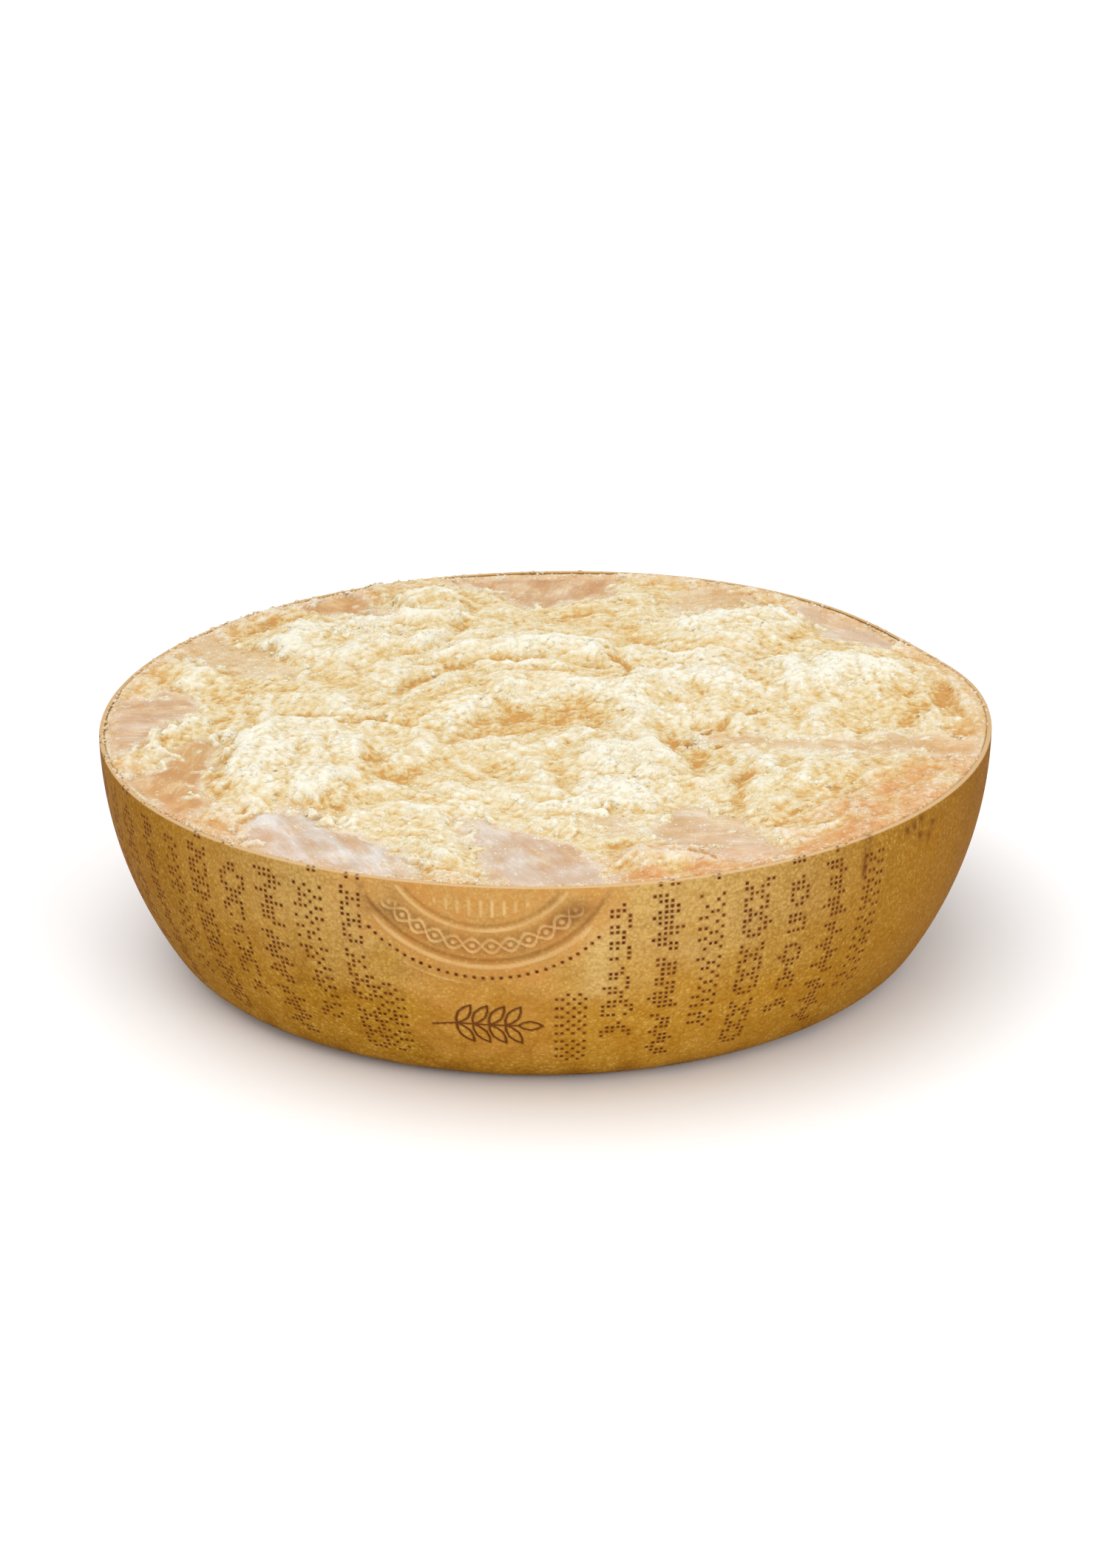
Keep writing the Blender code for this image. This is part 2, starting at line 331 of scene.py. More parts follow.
BLADE_CUTS = (
    BladeCut(
        "front left",
        (
            *((-141, -124), (-125, -117), (-111, -120), (-101, -132), (-97, -143)),
            *((-85, -153), (-75, -160), (-66, -174), (-58, -196), (-60, -214)),
            *((-90, -204), (-114, -192), (-134, -178), (-137, -161), (-141, -143)),
        ),
        heading=113, sink=2.4, glare=0.95, bare=0.95,
    ),
    BladeCut(
        "left",
        (
            *((-178, -37), (-164, -28), (-158, -48), (-158, -67), (-163, -82), (-160, -96), (-155, -112)),
            *((-164, -124), (-182, -130), (-200, -104), (-206, -84), (-193, -73), (-188, -64), (-183, -47)),
        ),
        heading=78, sink=2.0, glare=0.0, bare=0.95,
    ),
    BladeCut(
        "upper left",
        (
            *((-224, 22), (-204, 30), (-190, 42), (-178, 33), (-172, 22), (-173, 9), (-181, -2)),
            *((-186, -15), (-193, -27), (-200, -37), (-208, -50), (-224, -50), (-228, -10)),
        ),
        heading=4, sink=1.8, glare=0.4, bare=0.95,
    ),
    BladeCut(
        "left back streak",
        (
            *((-192, 112), (-178, 126), (-161, 111), (-146, 91), (-134, 80), (-122, 67)),
            *((-132, 55), (-152, 60), (-170, 66), (-185, 84)),
        ),
        heading=-39, sink=1.4, glare=1.0, bare=0.45,
    ),
    BladeCut(
        "back left",
        (
            *((-152, 168), (-128, 186), (-109, 192), (-94, 182), (-86, 158), (-77, 146)),
            *((-84, 142), (-99, 151), (-115, 157), (-133, 164)),
        ),
        heading=-50, sink=2.0, glare=0.0,
    ),
    BladeCut(
        "back",
        (
            *((-52, 216), (-7, 226), (30, 224), (41, 205), (42, 188), (29, 181)),
            *((13, 173), (1, 162), (-13, 167), (-28, 186), (-42, 199)),
        ),
        heading=80, sink=2.2, glare=0.2,
    ),
    BladeCut(
        "back right",
        ((67, 188), (90, 196), (111, 184), (113, 166), (102, 159), (88, 154), (76, 148), (64, 161)),
        heading=20, sink=1.6, glare=0.7, bare=0.6,
    ),
    BladeCut(
        "right back",
        (
            *((128, 166), (150, 168), (168, 152), (180, 132), (188, 114), (179, 102)),
            *((165, 103), (153, 107), (144, 124), (134, 148)),
        ),
        heading=-50, sink=2.0, glare=0.9, bare=0.8,
    ),
    BladeCut(
        "right",
        (
            *((75, -19), (102, -26), (131, -31), (158, -32), (178, -24), (198, -28), (218, -38)),
            *((216, -57), (192, -60), (176, -54), (147, -56), (121, -50), (94, -43), (76, -38)),
        ),
        heading=-5, sink=1.4, glare=0.25, bare=0.6,
    ),
    BladeCut(
        "front right",
        (
            *((48, -139), (61, -122), (73, -118), (84, -127), (92, -137), (98, -151), (104, -164)),
            *((112, -174), (104, -184), (94, -186), (84, -184), (71, -178), (57, -170), (49, -155)),
        ),
        heading=-12, sink=2.0, glare=0.6, bare=0.8,
    ),
    BladeCut(
        "front glaze",
        ((16, -137), (31, -130), (46, -144), (47, -157), (33, -161), (20, -154)),
        heading=-10, sink=1.0, glare=1.0, bare=0.5,
    ),
    BladeCut(
        "front",
        (
            *((-41, -132), (-31, -129), (-15, -144), (2, -153), (17, -166), (26, -185), (32, -202)),
            *((30, -218), (13, -222), (-3, -222), (-22, -218), (-30, -203)),
            *((-33, -184), (-36, -167), (-40, -149)),
        ),
        heading=113, sink=2.4, glare=0.7, bare=0.95,
    ),
)


@dataclass(frozen=True)
class WheelShape:
    """The half wheel's outline: its rim, bulged side, rounded foot and uneven split level."""

    rim: float = 220.0
    side: float = 114.5
    arc: float = 192.0
    foot: float = 26.0
    swells: tuple[tuple[float, float, float], ...] = (
        (65, 24, 1.5), (27, 14, -4.0), (-20, 32, -0.6), (-145, 28, -1.2)
    )
    ragged_at: float = 128.0
    ragged_width: float = 26.0
    lobes: tuple[tuple[int, float, float], ...] = ((2, 0.9, 35), (4, 0.4, 10))

    @property
    def turn(self) -> float:
        """Angle of the side's arc, in radians, where the foot's rounding takes over."""
        return math.asin((self.side - self.foot) / (self.arc - self.foot))

    @property
    def run(self) -> float:
        """Length of the side from the rim to where the base is flat."""
        return self.arc * self.turn + self.foot * (math.pi / 2 - self.turn)

    def at(self, run: float, inset: float = 0.0) -> Point:
        """Radius and height at a length down the side, that far inside the skin.

        Args:
            run: Length down the side from the rim.
            inset: How far inside the skin.

        Returns:
            Radius and height, in millimetres.
        """
        if run <= self.arc * self.turn:
            angle, reach = run / self.arc, self.arc - inset
            return self.rim - self.arc + reach * math.cos(angle), self.side - reach * math.sin(angle)
        angle = self.turn + (run - self.arc * self.turn) / self.foot
        middle = self.rim - self.arc + (self.arc - self.foot) * math.cos(self.turn)
        reach = self.foot - inset
        return middle + reach * math.cos(angle), self.foot - reach * math.sin(angle)

    def run_at(self, height: np.ndarray) -> np.ndarray:
        """Length down the side at a height on the skin, before the rim's swells.

        Args:
            height: Heights above the floor.

        Returns:
            The lengths, in millimetres.
        """
        split = self.side - self.arc * math.sin(self.turn)
        upper = self.arc * np.arcsin(np.clip((self.side - height) / self.arc, -1.0, 1.0))
        lower = self.foot * (np.arcsin(np.clip((self.foot - height) / self.foot, -1.0, 1.0)) - self.turn)
        return np.where(height > split, upper, self.arc * self.turn + lower)

    def swell(self, angle: np.ndarray) -> np.ndarray:
        """How far the rim stands above or below its mean level in each direction, given in radians.

        Args:
            angle: Directions, in radians.

        Returns:
            Heights, in millimetres.
        """
        total = np.zeros_like(angle)
        for at, width, rise in self.swells:
            away = (np.degrees(angle) - at + 180) % 360 - 180
            total += rise * bell(away, width)
        return total

    def ragged(self, angle: np.ndarray) -> np.ndarray:
        """How much crumb lies over the rim in each direction, given in radians: most at the back left."""
        return bell(np.degrees(angle) - self.ragged_at, self.ragged_width)

    def lobe(self, angle: np.ndarray) -> np.ndarray:
        """How far the side stands out of a true circle in each direction, given in radians.

        Args:
            angle: Directions, in radians.

        Returns:
            Lengths outwards, in millimetres.
        """
        total = np.zeros_like(angle)
        for lobes, swing, at in self.lobes:
            total += swing * np.cos(lobes * (angle - math.radians(at)))
        return total


SHAPE = WheelShape()
SWIRL = Swirl()


# Tools of the bench


class Bench:
    """Small modelling steps that every piece shares."""

    @staticmethod
    def clear_selection() -> None:
        """Leaves edit mode and deselects every object."""
        if bpy.context.object and bpy.context.object.mode != "OBJECT":
            bpy.ops.object.mode_set(mode="OBJECT")
        bpy.ops.object.select_all(action="DESELECT")

    @staticmethod
    def named(name: str) -> bpy.types.Object:
        """Names the object just added, and its mesh.

        Args:
            name: The new name.

        Returns:
            The object.
        """
        made = bpy.context.object
        made.name = name
        made.data.name = name
        return made

    @staticmethod
    def read(mesh: bpy.types.Mesh) -> np.ndarray:
        """The mesh's points in millimetres, one row each.

        Args:
            mesh: The mesh to read.

        Returns:
            An array of three columns.
        """
        points = np.empty(len(mesh.vertices) * 3)
        mesh.vertices.foreach_get("co", points)
        return points.reshape(-1, 3) / MM

    @staticmethod
    def write(mesh: bpy.types.Mesh, points: np.ndarray) -> None:
        """Puts the mesh's points at these places, given in millimetres."""
        mesh.vertices.foreach_set("co", (points * MM).ravel())
        mesh.update()

    @staticmethod
    def paint(mesh: bpy.types.Mesh, name: str, values: np.ndarray) -> None:
        """Stores one number, or one vector, for each point of the mesh under a name that materials read.

        Args:
            mesh: The mesh to store them on.
            name: The name that materials read.
            values: A number or a row for each point.
        """
        kind, key = ("FLOAT_VECTOR", "vector") if values.ndim == 2 else ("FLOAT", "value")
        layer = mesh.attributes.new(name, kind, "POINT")
        layer.data.foreach_set(key, values.astype(np.float32).ravel())

    @staticmethod
    def ring(drop: float, grow: float) -> None:
        """Extrudes the selected ring of edges down by drop and scales it about the wheel's axis by grow.

        Args:
            drop: Millimetres downwards.
            grow: The share that scales the ring.
        """
        bpy.ops.mesh.extrude_edges_move()
        bpy.ops.transform.translate(value=(0.0, 0.0, -drop * MM))
        bpy.ops.transform.resize(value=(grow, grow, 1.0), center_override=(0.0, 0.0, 0.0))

    @staticmethod
    def mount(piece: bpy.types.Object) -> None:
        """Lets a piece ride on the wheel's body and logs how many triangles it has.

        Args:
            piece: The finished piece.
        """
        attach(piece, BODY)
        triangles = sum(len(face.vertices) - 2 for face in piece.data.polygons)
        LOG.info("%s: %d triangles", piece.name, triangles)


# Shader wiring


class Wiring:
    """Adds nodes to one tree and joins them."""

    def __init__(self, tree: bpy.types.NodeTree) -> None:
        """Keeps the tree that the nodes go into."""
        self.tree = tree

    def node(self, kind: str, **settings: object) -> bpy.types.Node:
        """A new node of that kind with its settings made.

        Args:
            kind: Blender's name for the kind of node.
            settings: The node's own settings.

        Returns:
            The node.
        """
        made = self.tree.nodes.new(kind)
        for name, value in settings.items():
            setattr(made, name, value)
        return made

    def feed(self, socket: bpy.types.NodeSocket, value: object) -> None:
        """Joins a socket to another, or sets its own value.

        Args:
            socket: The input to fill.
            value: Another node's output, or a plain value.
        """
        if isinstance(value, bpy.types.NodeSocket):
            self.tree.links.new(value, socket)
        else:
            socket.default_value = value

    def math(self, operation: str, first: object, second: object, clamp: bool = False) -> Socket:
        """The result of one sum on two values.

        Args:
            operation: Blender's name for the sum.
            first: The first value.
            second: The second value.
            clamp: Whether to keep it from 0 to 1.

        Returns:
            The sum's output.
        """
        made = self.node("ShaderNodeMath", operation=operation, use_clamp=clamp)
        self.feed(made.inputs[0], first)
        self.feed(made.inputs[1], second)
        return made.outputs[0]

    def times(self, first: object, second: object) -> Socket:
        """One value multiplied by another."""
        return self.math("MULTIPLY", first, second)

    def plus(self, first: object, second: object) -> Socket:
        """One value added to another."""
        return self.math("ADD", first, second)

    def swung(self, tone: Socket, mask: Socket, middle: float, swing: float) -> Socket:
        """A tone, raised where the mask is above its middle and lowered below it, by that swing."""
        return self.plus(tone, self.times(self.math("SUBTRACT", mask, middle), swing))

    def remap(
        self, value: object, low: float, high: float, to_low: float = 0.0, to_high: float = 1.0
    ) -> Socket:
        """The value spread from one range onto another, smoothly and without passing its ends.

        Args:
            value: The value to spread.
            low: Where the first range starts.
            high: Where it ends.
            to_low: Where the second range starts.
            to_high: Where it ends.

        Returns:
            The spread value.
        """
        made = self.node("ShaderNodeMapRange", interpolation_type="SMOOTHSTEP")
        self.feed(made.inputs[0], value)
        for slot, number in zip((1, 2, 3, 4), (low, high, to_low, to_high)):
            made.inputs[slot].default_value = number
        return made.outputs[0]

    def blend(self, share: object, first: object, second: object) -> Socket:
        """Two colours mixed by a share.

        Args:
            share: How much of the second colour.
            first: A colour.
            second: Another colour.

        Returns:
            The mixed colour.
        """
        made = self.node("ShaderNodeMix", data_type="RGBA")
        self.feed(made.inputs[0], share)
        self.feed(made.inputs[6], first)
        self.feed(made.inputs[7], second)
        return made.outputs[2]

    def ramp(self, share: object, stops: Iterable[tuple[float, Colour]]) -> Socket:
        """A colour picked along a row of stops.

        Args:
            share: The place along the row, 0 to 1.
            stops: Places and their colours.

        Returns:
            The colour.
        """
        made = self.node("ShaderNodeValToRGB")
        marks = made.color_ramp.elements
        for place, (at, colour) in enumerate(stops):
            mark = marks[place] if place < 2 else marks.new(at)
            mark.position = at
            mark.color = colour
        self.feed(made.inputs[0], share)
        return made.outputs[0]

    def noise(self, vector: object, scale: object, detail: float = 2.0, rough: float = 0.5) -> Socket:
        """Cloudy noise from 0 to 1.

        Args:
            vector: The place.
            scale: Clouds for each unit.
            detail: How many finer layers.
            rough: How strong they are.

        Returns:
            The noise.
        """
        made = self.node("ShaderNodeTexNoise")
        self.feed(made.inputs["Vector"], vector)
        self.feed(made.inputs["Scale"], scale)
        made.inputs["Detail"].default_value = detail
        made.inputs["Roughness"].default_value = rough
        return made.outputs[0]

    def cells(self, vector: object, scale: object) -> bpy.types.Node:
        """Cell noise, whose outputs are a distance and a colour for each cell.

        Args:
            vector: The place.
            scale: Cells for each unit.

        Returns:
            The node.
        """
        made = self.node("ShaderNodeTexVoronoi")
        self.feed(made.inputs["Vector"], vector)
        self.feed(made.inputs["Scale"], scale)
        return made

    def stretched(self, vector: object, scale: tuple[float, float, float]) -> Socket:
        """A place, scaled by a different amount along each axis.

        Args:
            vector: The place.
            scale: The three amounts.

        Returns:
            The scaled place.
        """
        made = self.node("ShaderNodeMapping")
        self.feed(made.inputs["Vector"], vector)
        made.inputs["Scale"].default_value = scale
        return made.outputs[0]

    def stored(self, name: str, kind: str = "Fac") -> Socket:
        """What the mesh stores at each point under that name: a number, or with Vector three."""
        return self.node("ShaderNodeAttribute", attribute_name=name).outputs[kind]

    def bump(self, height: object, depth: float) -> Socket:
        """A normal raised by heights, at most that many millimetres deep.

        Args:
            height: Heights from 0 to 1.
            depth: The depth, in millimetres.

        Returns:
            The normal.
        """
        made = self.node("ShaderNodeBump")
        made.inputs["Distance"].default_value = depth * MM
        self.feed(made.inputs["Height"], height)
        return made.outputs[0]

    def effect(self, group: bpy.types.NodeTree, **values: object) -> bpy.types.Node:
        """An effect group placed with its own values.

        Args:
            group: The group to place.
            values: What its inputs get, by name.

        Returns:
            Its node.
        """
        made = self.node("ShaderNodeGroup", node_tree=group)
        for name, value in values.items():
            self.feed(made.inputs[name], value)
        return made


class Effects:
    """Shader effects that more than one material uses, each built once."""

    def __init__(self) -> None:
        """Builds the groups."""
        self.grain = self.make_grain()
        self.mottle = self.make_mottle()
        self.specks = self.make_specks()

    @staticmethod
    def start(
        name: str, takes: Iterable[str], gives: Iterable[str]
    ) -> tuple[bpy.types.NodeTree, bpy.types.Node, bpy.types.Node]:
        """An empty group with named inputs and outputs.

        Args:
            name: The group's name.
            takes: Names of the numbers that it takes, after Place, which is a vector.
            gives: Names of the numbers that it gives.

        Returns:
            The group, its input node and its output node.
        """
        group = bpy.data.node_groups.new(name, "ShaderNodeTree")
        group.interface.new_socket(name="Place", in_out="INPUT", socket_type="NodeSocketVector")
        for way, sockets in (("INPUT", takes), ("OUTPUT", gives)):
            for socket in sockets:
                group.interface.new_socket(name=socket, in_out=way, socket_type="NodeSocketFloat")
        return group, group.nodes.new("NodeGroupInput"), group.nodes.new("NodeGroupOutput")

    def make_grain(self) -> bpy.types.NodeTree:
        """Packed rounded grains with finer ones on them: a height, and a tone that is partly each grain's
        own and partly painted light on the grains' tops and painted shade in the gaps between them.

        Returns:
            The group.
        """
        group, given, taken = self.start("curd_grain", ("Scale",), ("Tone", "Height"))
        wire = Wiring(group)
        place, scale = given.outputs["Place"], given.outputs["Scale"]
        cell = wire.cells(place, scale)
        dome = wire.math("SUBTRACT", 1.0, cell.outputs["Distance"], clamp=True)
        fine = wire.noise(place, wire.times(scale, 2.3), 3.0, 0.6)
        height = wire.plus(wire.times(dome, 0.6), wire.times(fine, 0.4))
        own = wire.node("ShaderNodeSeparateColor")
        wire.feed(own.inputs[0], cell.outputs["Color"])
        # The tone follows the height: painted light on the grain tops, painted shade in the gaps.
        tone = wire.plus(wire.times(own.outputs[0], 0.35), wire.times(height, 0.65))
        wire.feed(taken.inputs["Tone"], tone)
        wire.feed(taken.inputs["Height"], height)
        return group

    def make_mottle(self) -> bpy.types.NodeTree:
        """Soft uneven clouds, as a mask from 0 to 1.

        Returns:
            The group.
        """
        group, given, taken = self.start("mottle", ("Scale",), ("Mask",))
        wire = Wiring(group)
        cloud = wire.noise(given.outputs["Place"], given.outputs["Scale"], 4.0, 0.55)
        wire.feed(taken.inputs["Mask"], wire.remap(cloud, 0.3, 0.7))
        return group

    def make_specks(self) -> bpy.types.NodeTree:
        """Small separate spots, as a mask: Cover is the share of cells that hold one.

        Returns:
            The group.
        """
        group, given, taken = self.start("specks", ("Scale", "Cover"), ("Mask",))
        wire = Wiring(group)
        place, scale = given.outputs["Place"], given.outputs["Scale"]
        shift = wire.node("ShaderNodeTexNoise")
        wire.feed(shift.inputs["Vector"], place)
        wire.feed(shift.inputs["Scale"], wire.times(scale, 1.1))
        reach = wire.math("DIVIDE", 1.3, scale)
        moved = wire.node("ShaderNodeVectorMath", operation="MULTIPLY_ADD")
        wire.feed(moved.inputs[0], shift.outputs["Color"])
        wire.feed(moved.inputs[1], reach)
        wire.feed(moved.inputs[2], place)
        cell = wire.cells(moved.outputs[0], scale)
        spot = wire.remap(cell.outputs["Distance"], 0.2, 0.48, 1.0, 0.0)
        own = wire.node("ShaderNodeSeparateColor")
        wire.feed(own.inputs[0], cell.outputs["Color"])
        held = wire.math("LESS_THAN", own.outputs[0], given.outputs["Cover"])
        wire.feed(taken.inputs["Mask"], wire.times(spot, held))
        return group


# Finishes


def blank_material(name: str) -> tuple[bpy.types.Material, Wiring, bpy.types.Node]:
    """A node material with only its shader, and the wiring to fill it.

    Args:
        name: The material's name.

    Returns:
        The material, its wiring and its shader.
    """
    material = bpy.data.materials.new(name)
    material.use_nodes = True
    return material, Wiring(material.node_tree), material.node_tree.nodes["Principled BSDF"]


@dataclass(frozen=True)
class PasteFinish:
    """Dry granular paste: gold in clefts as painted shade, cream on slopes, near white on crests as painted
    highlight, waxy where cut.
    """

    name: str = "cheese_paste"
    # From painted shade in the hollows, gold, to painted highlight on the crests, near white.
    stops: tuple[tuple[float, Colour], ...] = (
        (0.0, tint(214, 160, 84)),
        (0.22, tint(227, 192, 126)),
        (0.45, tint(235, 213, 165)),
        (0.7, tint(243, 230, 198)),
        (1.0, tint(251, 247, 229)),
    )
    waxy: tuple[tuple[float, Colour], ...] = (
        (0.05, tint(192, 132, 62)),
        (0.5, tint(206, 153, 87)),
        (0.95, tint(229, 197, 143)),
    )
    # Pale bluish-white tones of the cuts' glare: a painted reflection of the studio's light.
    glare_tones: tuple[tuple[float, Colour], ...] = (
        (0.05, tint(208, 186, 161)),
        (0.5, tint(219, 211, 203)),
        (0.95, tint(241, 241, 243)),
    )
    orange: Colour = tint(223, 156, 92)
    crystal: Colour = tint(255, 252, 246)
    fuzz: Colour = tint(241, 226, 200)
    bleed: float = 0.32
    curds: float = 270.0

    def make(self, effects: Effects) -> bpy.types.Material:
        """Builds the material.

        Args:
            effects: The shared effect groups.

        Returns:
            The finished material.
        """
        material, wire, shader = blank_material(self.name)
        place = wire.node("ShaderNodeTexCoord").outputs["Object"]
        crest = wire.stored("crest")
        cut = wire.stored("cut")
        warm = wire.stored("warm")
        glare = wire.stored("glare")
        border = wire.stored("border")
        run = wire.stored("run", "Vector")
        grain = wire.effect(effects.grain, Place=place, Scale=620.0)
        curd = wire.effect(effects.grain, Place=place, Scale=self.curds)
        cloud = wire.effect(effects.mottle, Place=place, Scale=75.0).outputs["Mask"]
        cover = wire.times(
            wire.remap(border, 0.0, 1.0, 0.14, 0.55), wire.remap(cloud, 0.1, 0.9, 0.5, 1.2)
        )
        dust = wire.effect(effects.specks, Place=place, Scale=620.0, Cover=cover).outputs["Mask"]
        # tone: the stored crests and hollows and the grains, painted light on what stands up and painted
        # shade in what lies low.
        tone = wire.swung(crest, grain.outputs["Tone"], 0.5, 0.42)
        tone = wire.swung(tone, curd.outputs["Tone"], 0.48, 0.75)
        tone = wire.swung(tone, cloud, 0.5, 0.16)
        crumb = wire.ramp(tone, self.stops)
        # The warm rim's orange shows most where the tone is low, in the painted shade.
        gold = wire.times(warm, wire.remap(tone, 0.1, 0.9, 0.9, 0.4))
        crumb = wire.blend(gold, crumb, self.orange)
        streak = wire.noise(wire.stretched(run, (110.0, 620.0, 1.0)), 1.0, 5.0, 0.65)
        patch = wire.noise(wire.stretched(run, (45.0, 70.0, 1.0)), 1.0, 4.0, 0.6)
        sheen = wire.plus(wire.times(streak, 0.25), wire.times(patch, 0.75))
        sheen = wire.remap(sheen, 0.26, 0.74)
        # The glare, broken into patches: painted reflection on the cut faces.
        glare_cloud = wire.noise(wire.stretched(run, (26.0, 60.0, 1.0)), 1.0, 3.0, 0.6)
        glare_share = wire.times(glare, wire.remap(glare_cloud, 0.36, 0.6, 0.35, 1.0))
        smooth = wire.blend(glare_share, wire.ramp(sheen, self.waxy), wire.ramp(sheen, self.glare_tones))
        smooth = wire.blend(wire.times(warm, wire.remap(patch, 0.35, 0.65, 0.2, 0.6)), smooth, self.orange)
        smooth = wire.blend(wire.times(border, wire.remap(cloud, 0.2, 0.8, 0.3, 0.8)), smooth, self.fuzz)
        hair = wire.times(wire.remap(streak, 0.56, 0.7), wire.remap(patch, 0.42, 0.6))
        smooth = wire.blend(wire.times(hair, wire.remap(glare, 0.0, 1.0, 0.2, 0.6)), smooth, self.crystal)
        face = wire.blend(cut, crumb, smooth)
        face = wire.blend(wire.times(dust, wire.remap(border, 0.0, 1.0, 0.35, 0.5)), face, self.crystal)
        wire.feed(shader.inputs["Base Color"], face)
        wire.feed(shader.inputs["Roughness"], wire.remap(cut, 0.0, 1.0, 0.66, 0.42))
        rough_height = wire.plus(grain.outputs["Height"], wire.times(curd.outputs["Height"], 2.2))
        rough_height = wire.times(rough_height, wire.remap(cut, 0.0, 1.0, 1.0, 0.06))
        scored = wire.times(wire.plus(streak, patch), wire.times(cut, 0.1))
        wire.feed(shader.inputs["Normal"], wire.bump(wire.plus(rough_height, scored), 0.5))
        shader.inputs["Subsurface Weight"].default_value = self.bleed
        shader.inputs["Subsurface Radius"].default_value = (1.0, 0.65, 0.25)
        shader.inputs["Subsurface Scale"].default_value = 3.0 * MM
        shader.inputs["Specular IOR Level"].default_value = 0.28
        return material


@dataclass(frozen=True)
class RindFinish:
    """Golden waxy rind with fine pale grain, brown stains, a pale cut lip, painted light on its upper front
    and painted shade at its foot and flanks.
    """

    name: str = "cheese_rind"
    deep: Colour = tint(148, 98, 20)
    mid: Colour = tint(178, 128, 32)
    light: Colour = tint(205, 160, 62)
    pale: Colour = tint(229, 189, 98)
    amber: Colour = tint(182, 114, 30)
    stain: Colour = tint(208, 144, 74)
    # Painted highlight: the pale tone of the medallion's raised relief.
    raised: Colour = tint(243, 208, 148)
    # Dark brown: real stains, scars and the rings round holes, and painted shade in the medallion's grooves
    # and hollows and in the sprig's strokes.
    dark_stain_and_shade: Colour = tint(92, 38, 14)
    lip: Colour = tint(222, 186, 138)
    # Painted shade: the darker brown that the foot and both flanks are painted.
    painted_shade: Colour = tint(118, 66, 4)
    # Painted light: the paler gold that the upper front is painted.
    painted_light: Colour = tint(222, 188, 122)

    def make(self, effects: Effects) -> bpy.types.Material:
        """Builds the material.

        Args:
            effects: The shared effect groups.

        Returns:
            The finished material.
        """
        material, wire, shader = blank_material(self.name)
        place = wire.node("ShaderNodeTexCoord").outputs["Object"]
        broad = wire.effect(effects.mottle, Place=place, Scale=14.0).outputs["Mask"]
        close = wire.effect(effects.mottle, Place=place, Scale=70.0).outputs["Mask"]
        grain = wire.effect(effects.grain, Place=place, Scale=680.0)
        dots = wire.effect(effects.specks, Place=place, Scale=450.0, Cover=0.7).outputs["Mask"]
        tone = wire.plus(wire.times(broad, 0.2), wire.times(close, 0.22))
        tone = wire.plus(tone, wire.times(grain.outputs["Tone"], 0.75))
        skin = wire.ramp(tone, ((0.25, self.deep), (0.55, self.mid), (0.9, self.light)))
        skin = wire.blend(wire.times(broad, 0.28), skin, self.amber)
        # Painted light on the upper front.
        painted_light = wire.times(wire.stored("painted_light"), wire.remap(grain.outputs["Tone"], 0.2, 0.8, 0.45, 1.0))
        skin = wire.blend(painted_light, skin, self.painted_light)
        stain = wire.times(wire.stored("stain"), wire.remap(close, 0.0, 1.0, 0.5, 1.0))
        skin = wire.blend(wire.times(stain, 0.8), skin, self.stain)
        # Painted shade towards the foot and on both flanks.
        painted_shade = wire.times(wire.stored("painted_shade"), wire.remap(close, 0.0, 1.0, 0.7, 1.0))
        skin = wire.blend(wire.times(painted_shade, 0.95), skin, self.painted_shade)
        bright = wire.times(wire.remap(close, 0.0, 1.0, 0.18, 0.46), wire.remap(painted_shade, 0.0, 0.9, 1.0, 0.3))
        skin = wire.blend(wire.times(dots, bright), skin, self.pale)
        # Painted highlight on the raised relief.
        skin = wire.blend(wire.stored("raised"), skin, self.raised)
        skin = wire.blend(wire.stored("lip"), skin, self.lip)
        # Dark stains, and painted shade in grooves, hollows and strokes.
        skin = wire.blend(wire.stored("dark_stain_and_shade"), skin, self.dark_stain_and_shade)
        wire.feed(shader.inputs["Base Color"], skin)
        wire.feed(shader.inputs["Roughness"], wire.remap(tone, 0.2, 0.9, 0.76, 0.62))
        scuff = wire.noise(wire.stretched(place, (14.0, 14.0, 700.0)), 1.0, 2.0, 0.5)
        height = wire.times(grain.outputs["Height"], 0.6)
        height = wire.plus(height, wire.times(dots, 0.3))
        height = wire.plus(height, wire.times(scuff, 0.25))
        wire.feed(shader.inputs["Normal"], wire.bump(height, 0.4))
        shader.inputs["Subsurface Weight"].default_value = 0.04
        shader.inputs["Subsurface Radius"].default_value = (1.0, 0.5, 0.15)
        shader.inputs["Subsurface Scale"].default_value = 2.0 * MM
        shader.inputs["Specular IOR Level"].default_value = 0.03
        return material


@dataclass(frozen=True)
class PrickFinish:
    """Dark brown inside of the pricked holes."""

    name: str = "pricked_brown"
    dark: Colour = tint(92, 42, 12)
    rusty: Colour = tint(136, 72, 22)

    def make(self, effects: Effects) -> bpy.types.Material:
        """Builds the material from the shared effect groups.

        Args:
            effects: The shared groups.

        Returns:
            The material.
        """
        material, wire, shader = blank_material(self.name)
        place = wire.node("ShaderNodeTexCoord").outputs["Object"]
        cloud = wire.effect(effects.mottle, Place=place, Scale=190.0).outputs["Mask"]
        grain = wire.effect(effects.grain, Place=place, Scale=1500.0)
        wire.feed(shader.inputs["Base Color"], wire.blend(cloud, self.dark, self.rusty))
        wire.feed(shader.inputs["Roughness"], wire.remap(cloud, 0.0, 1.0, 0.6, 0.75))
        wire.feed(shader.inputs["Normal"], wire.bump(grain.outputs["Height"], 0.1))
        shader.inputs["Specular IOR Level"].default_value = 0.05
        return material


# The broken paste


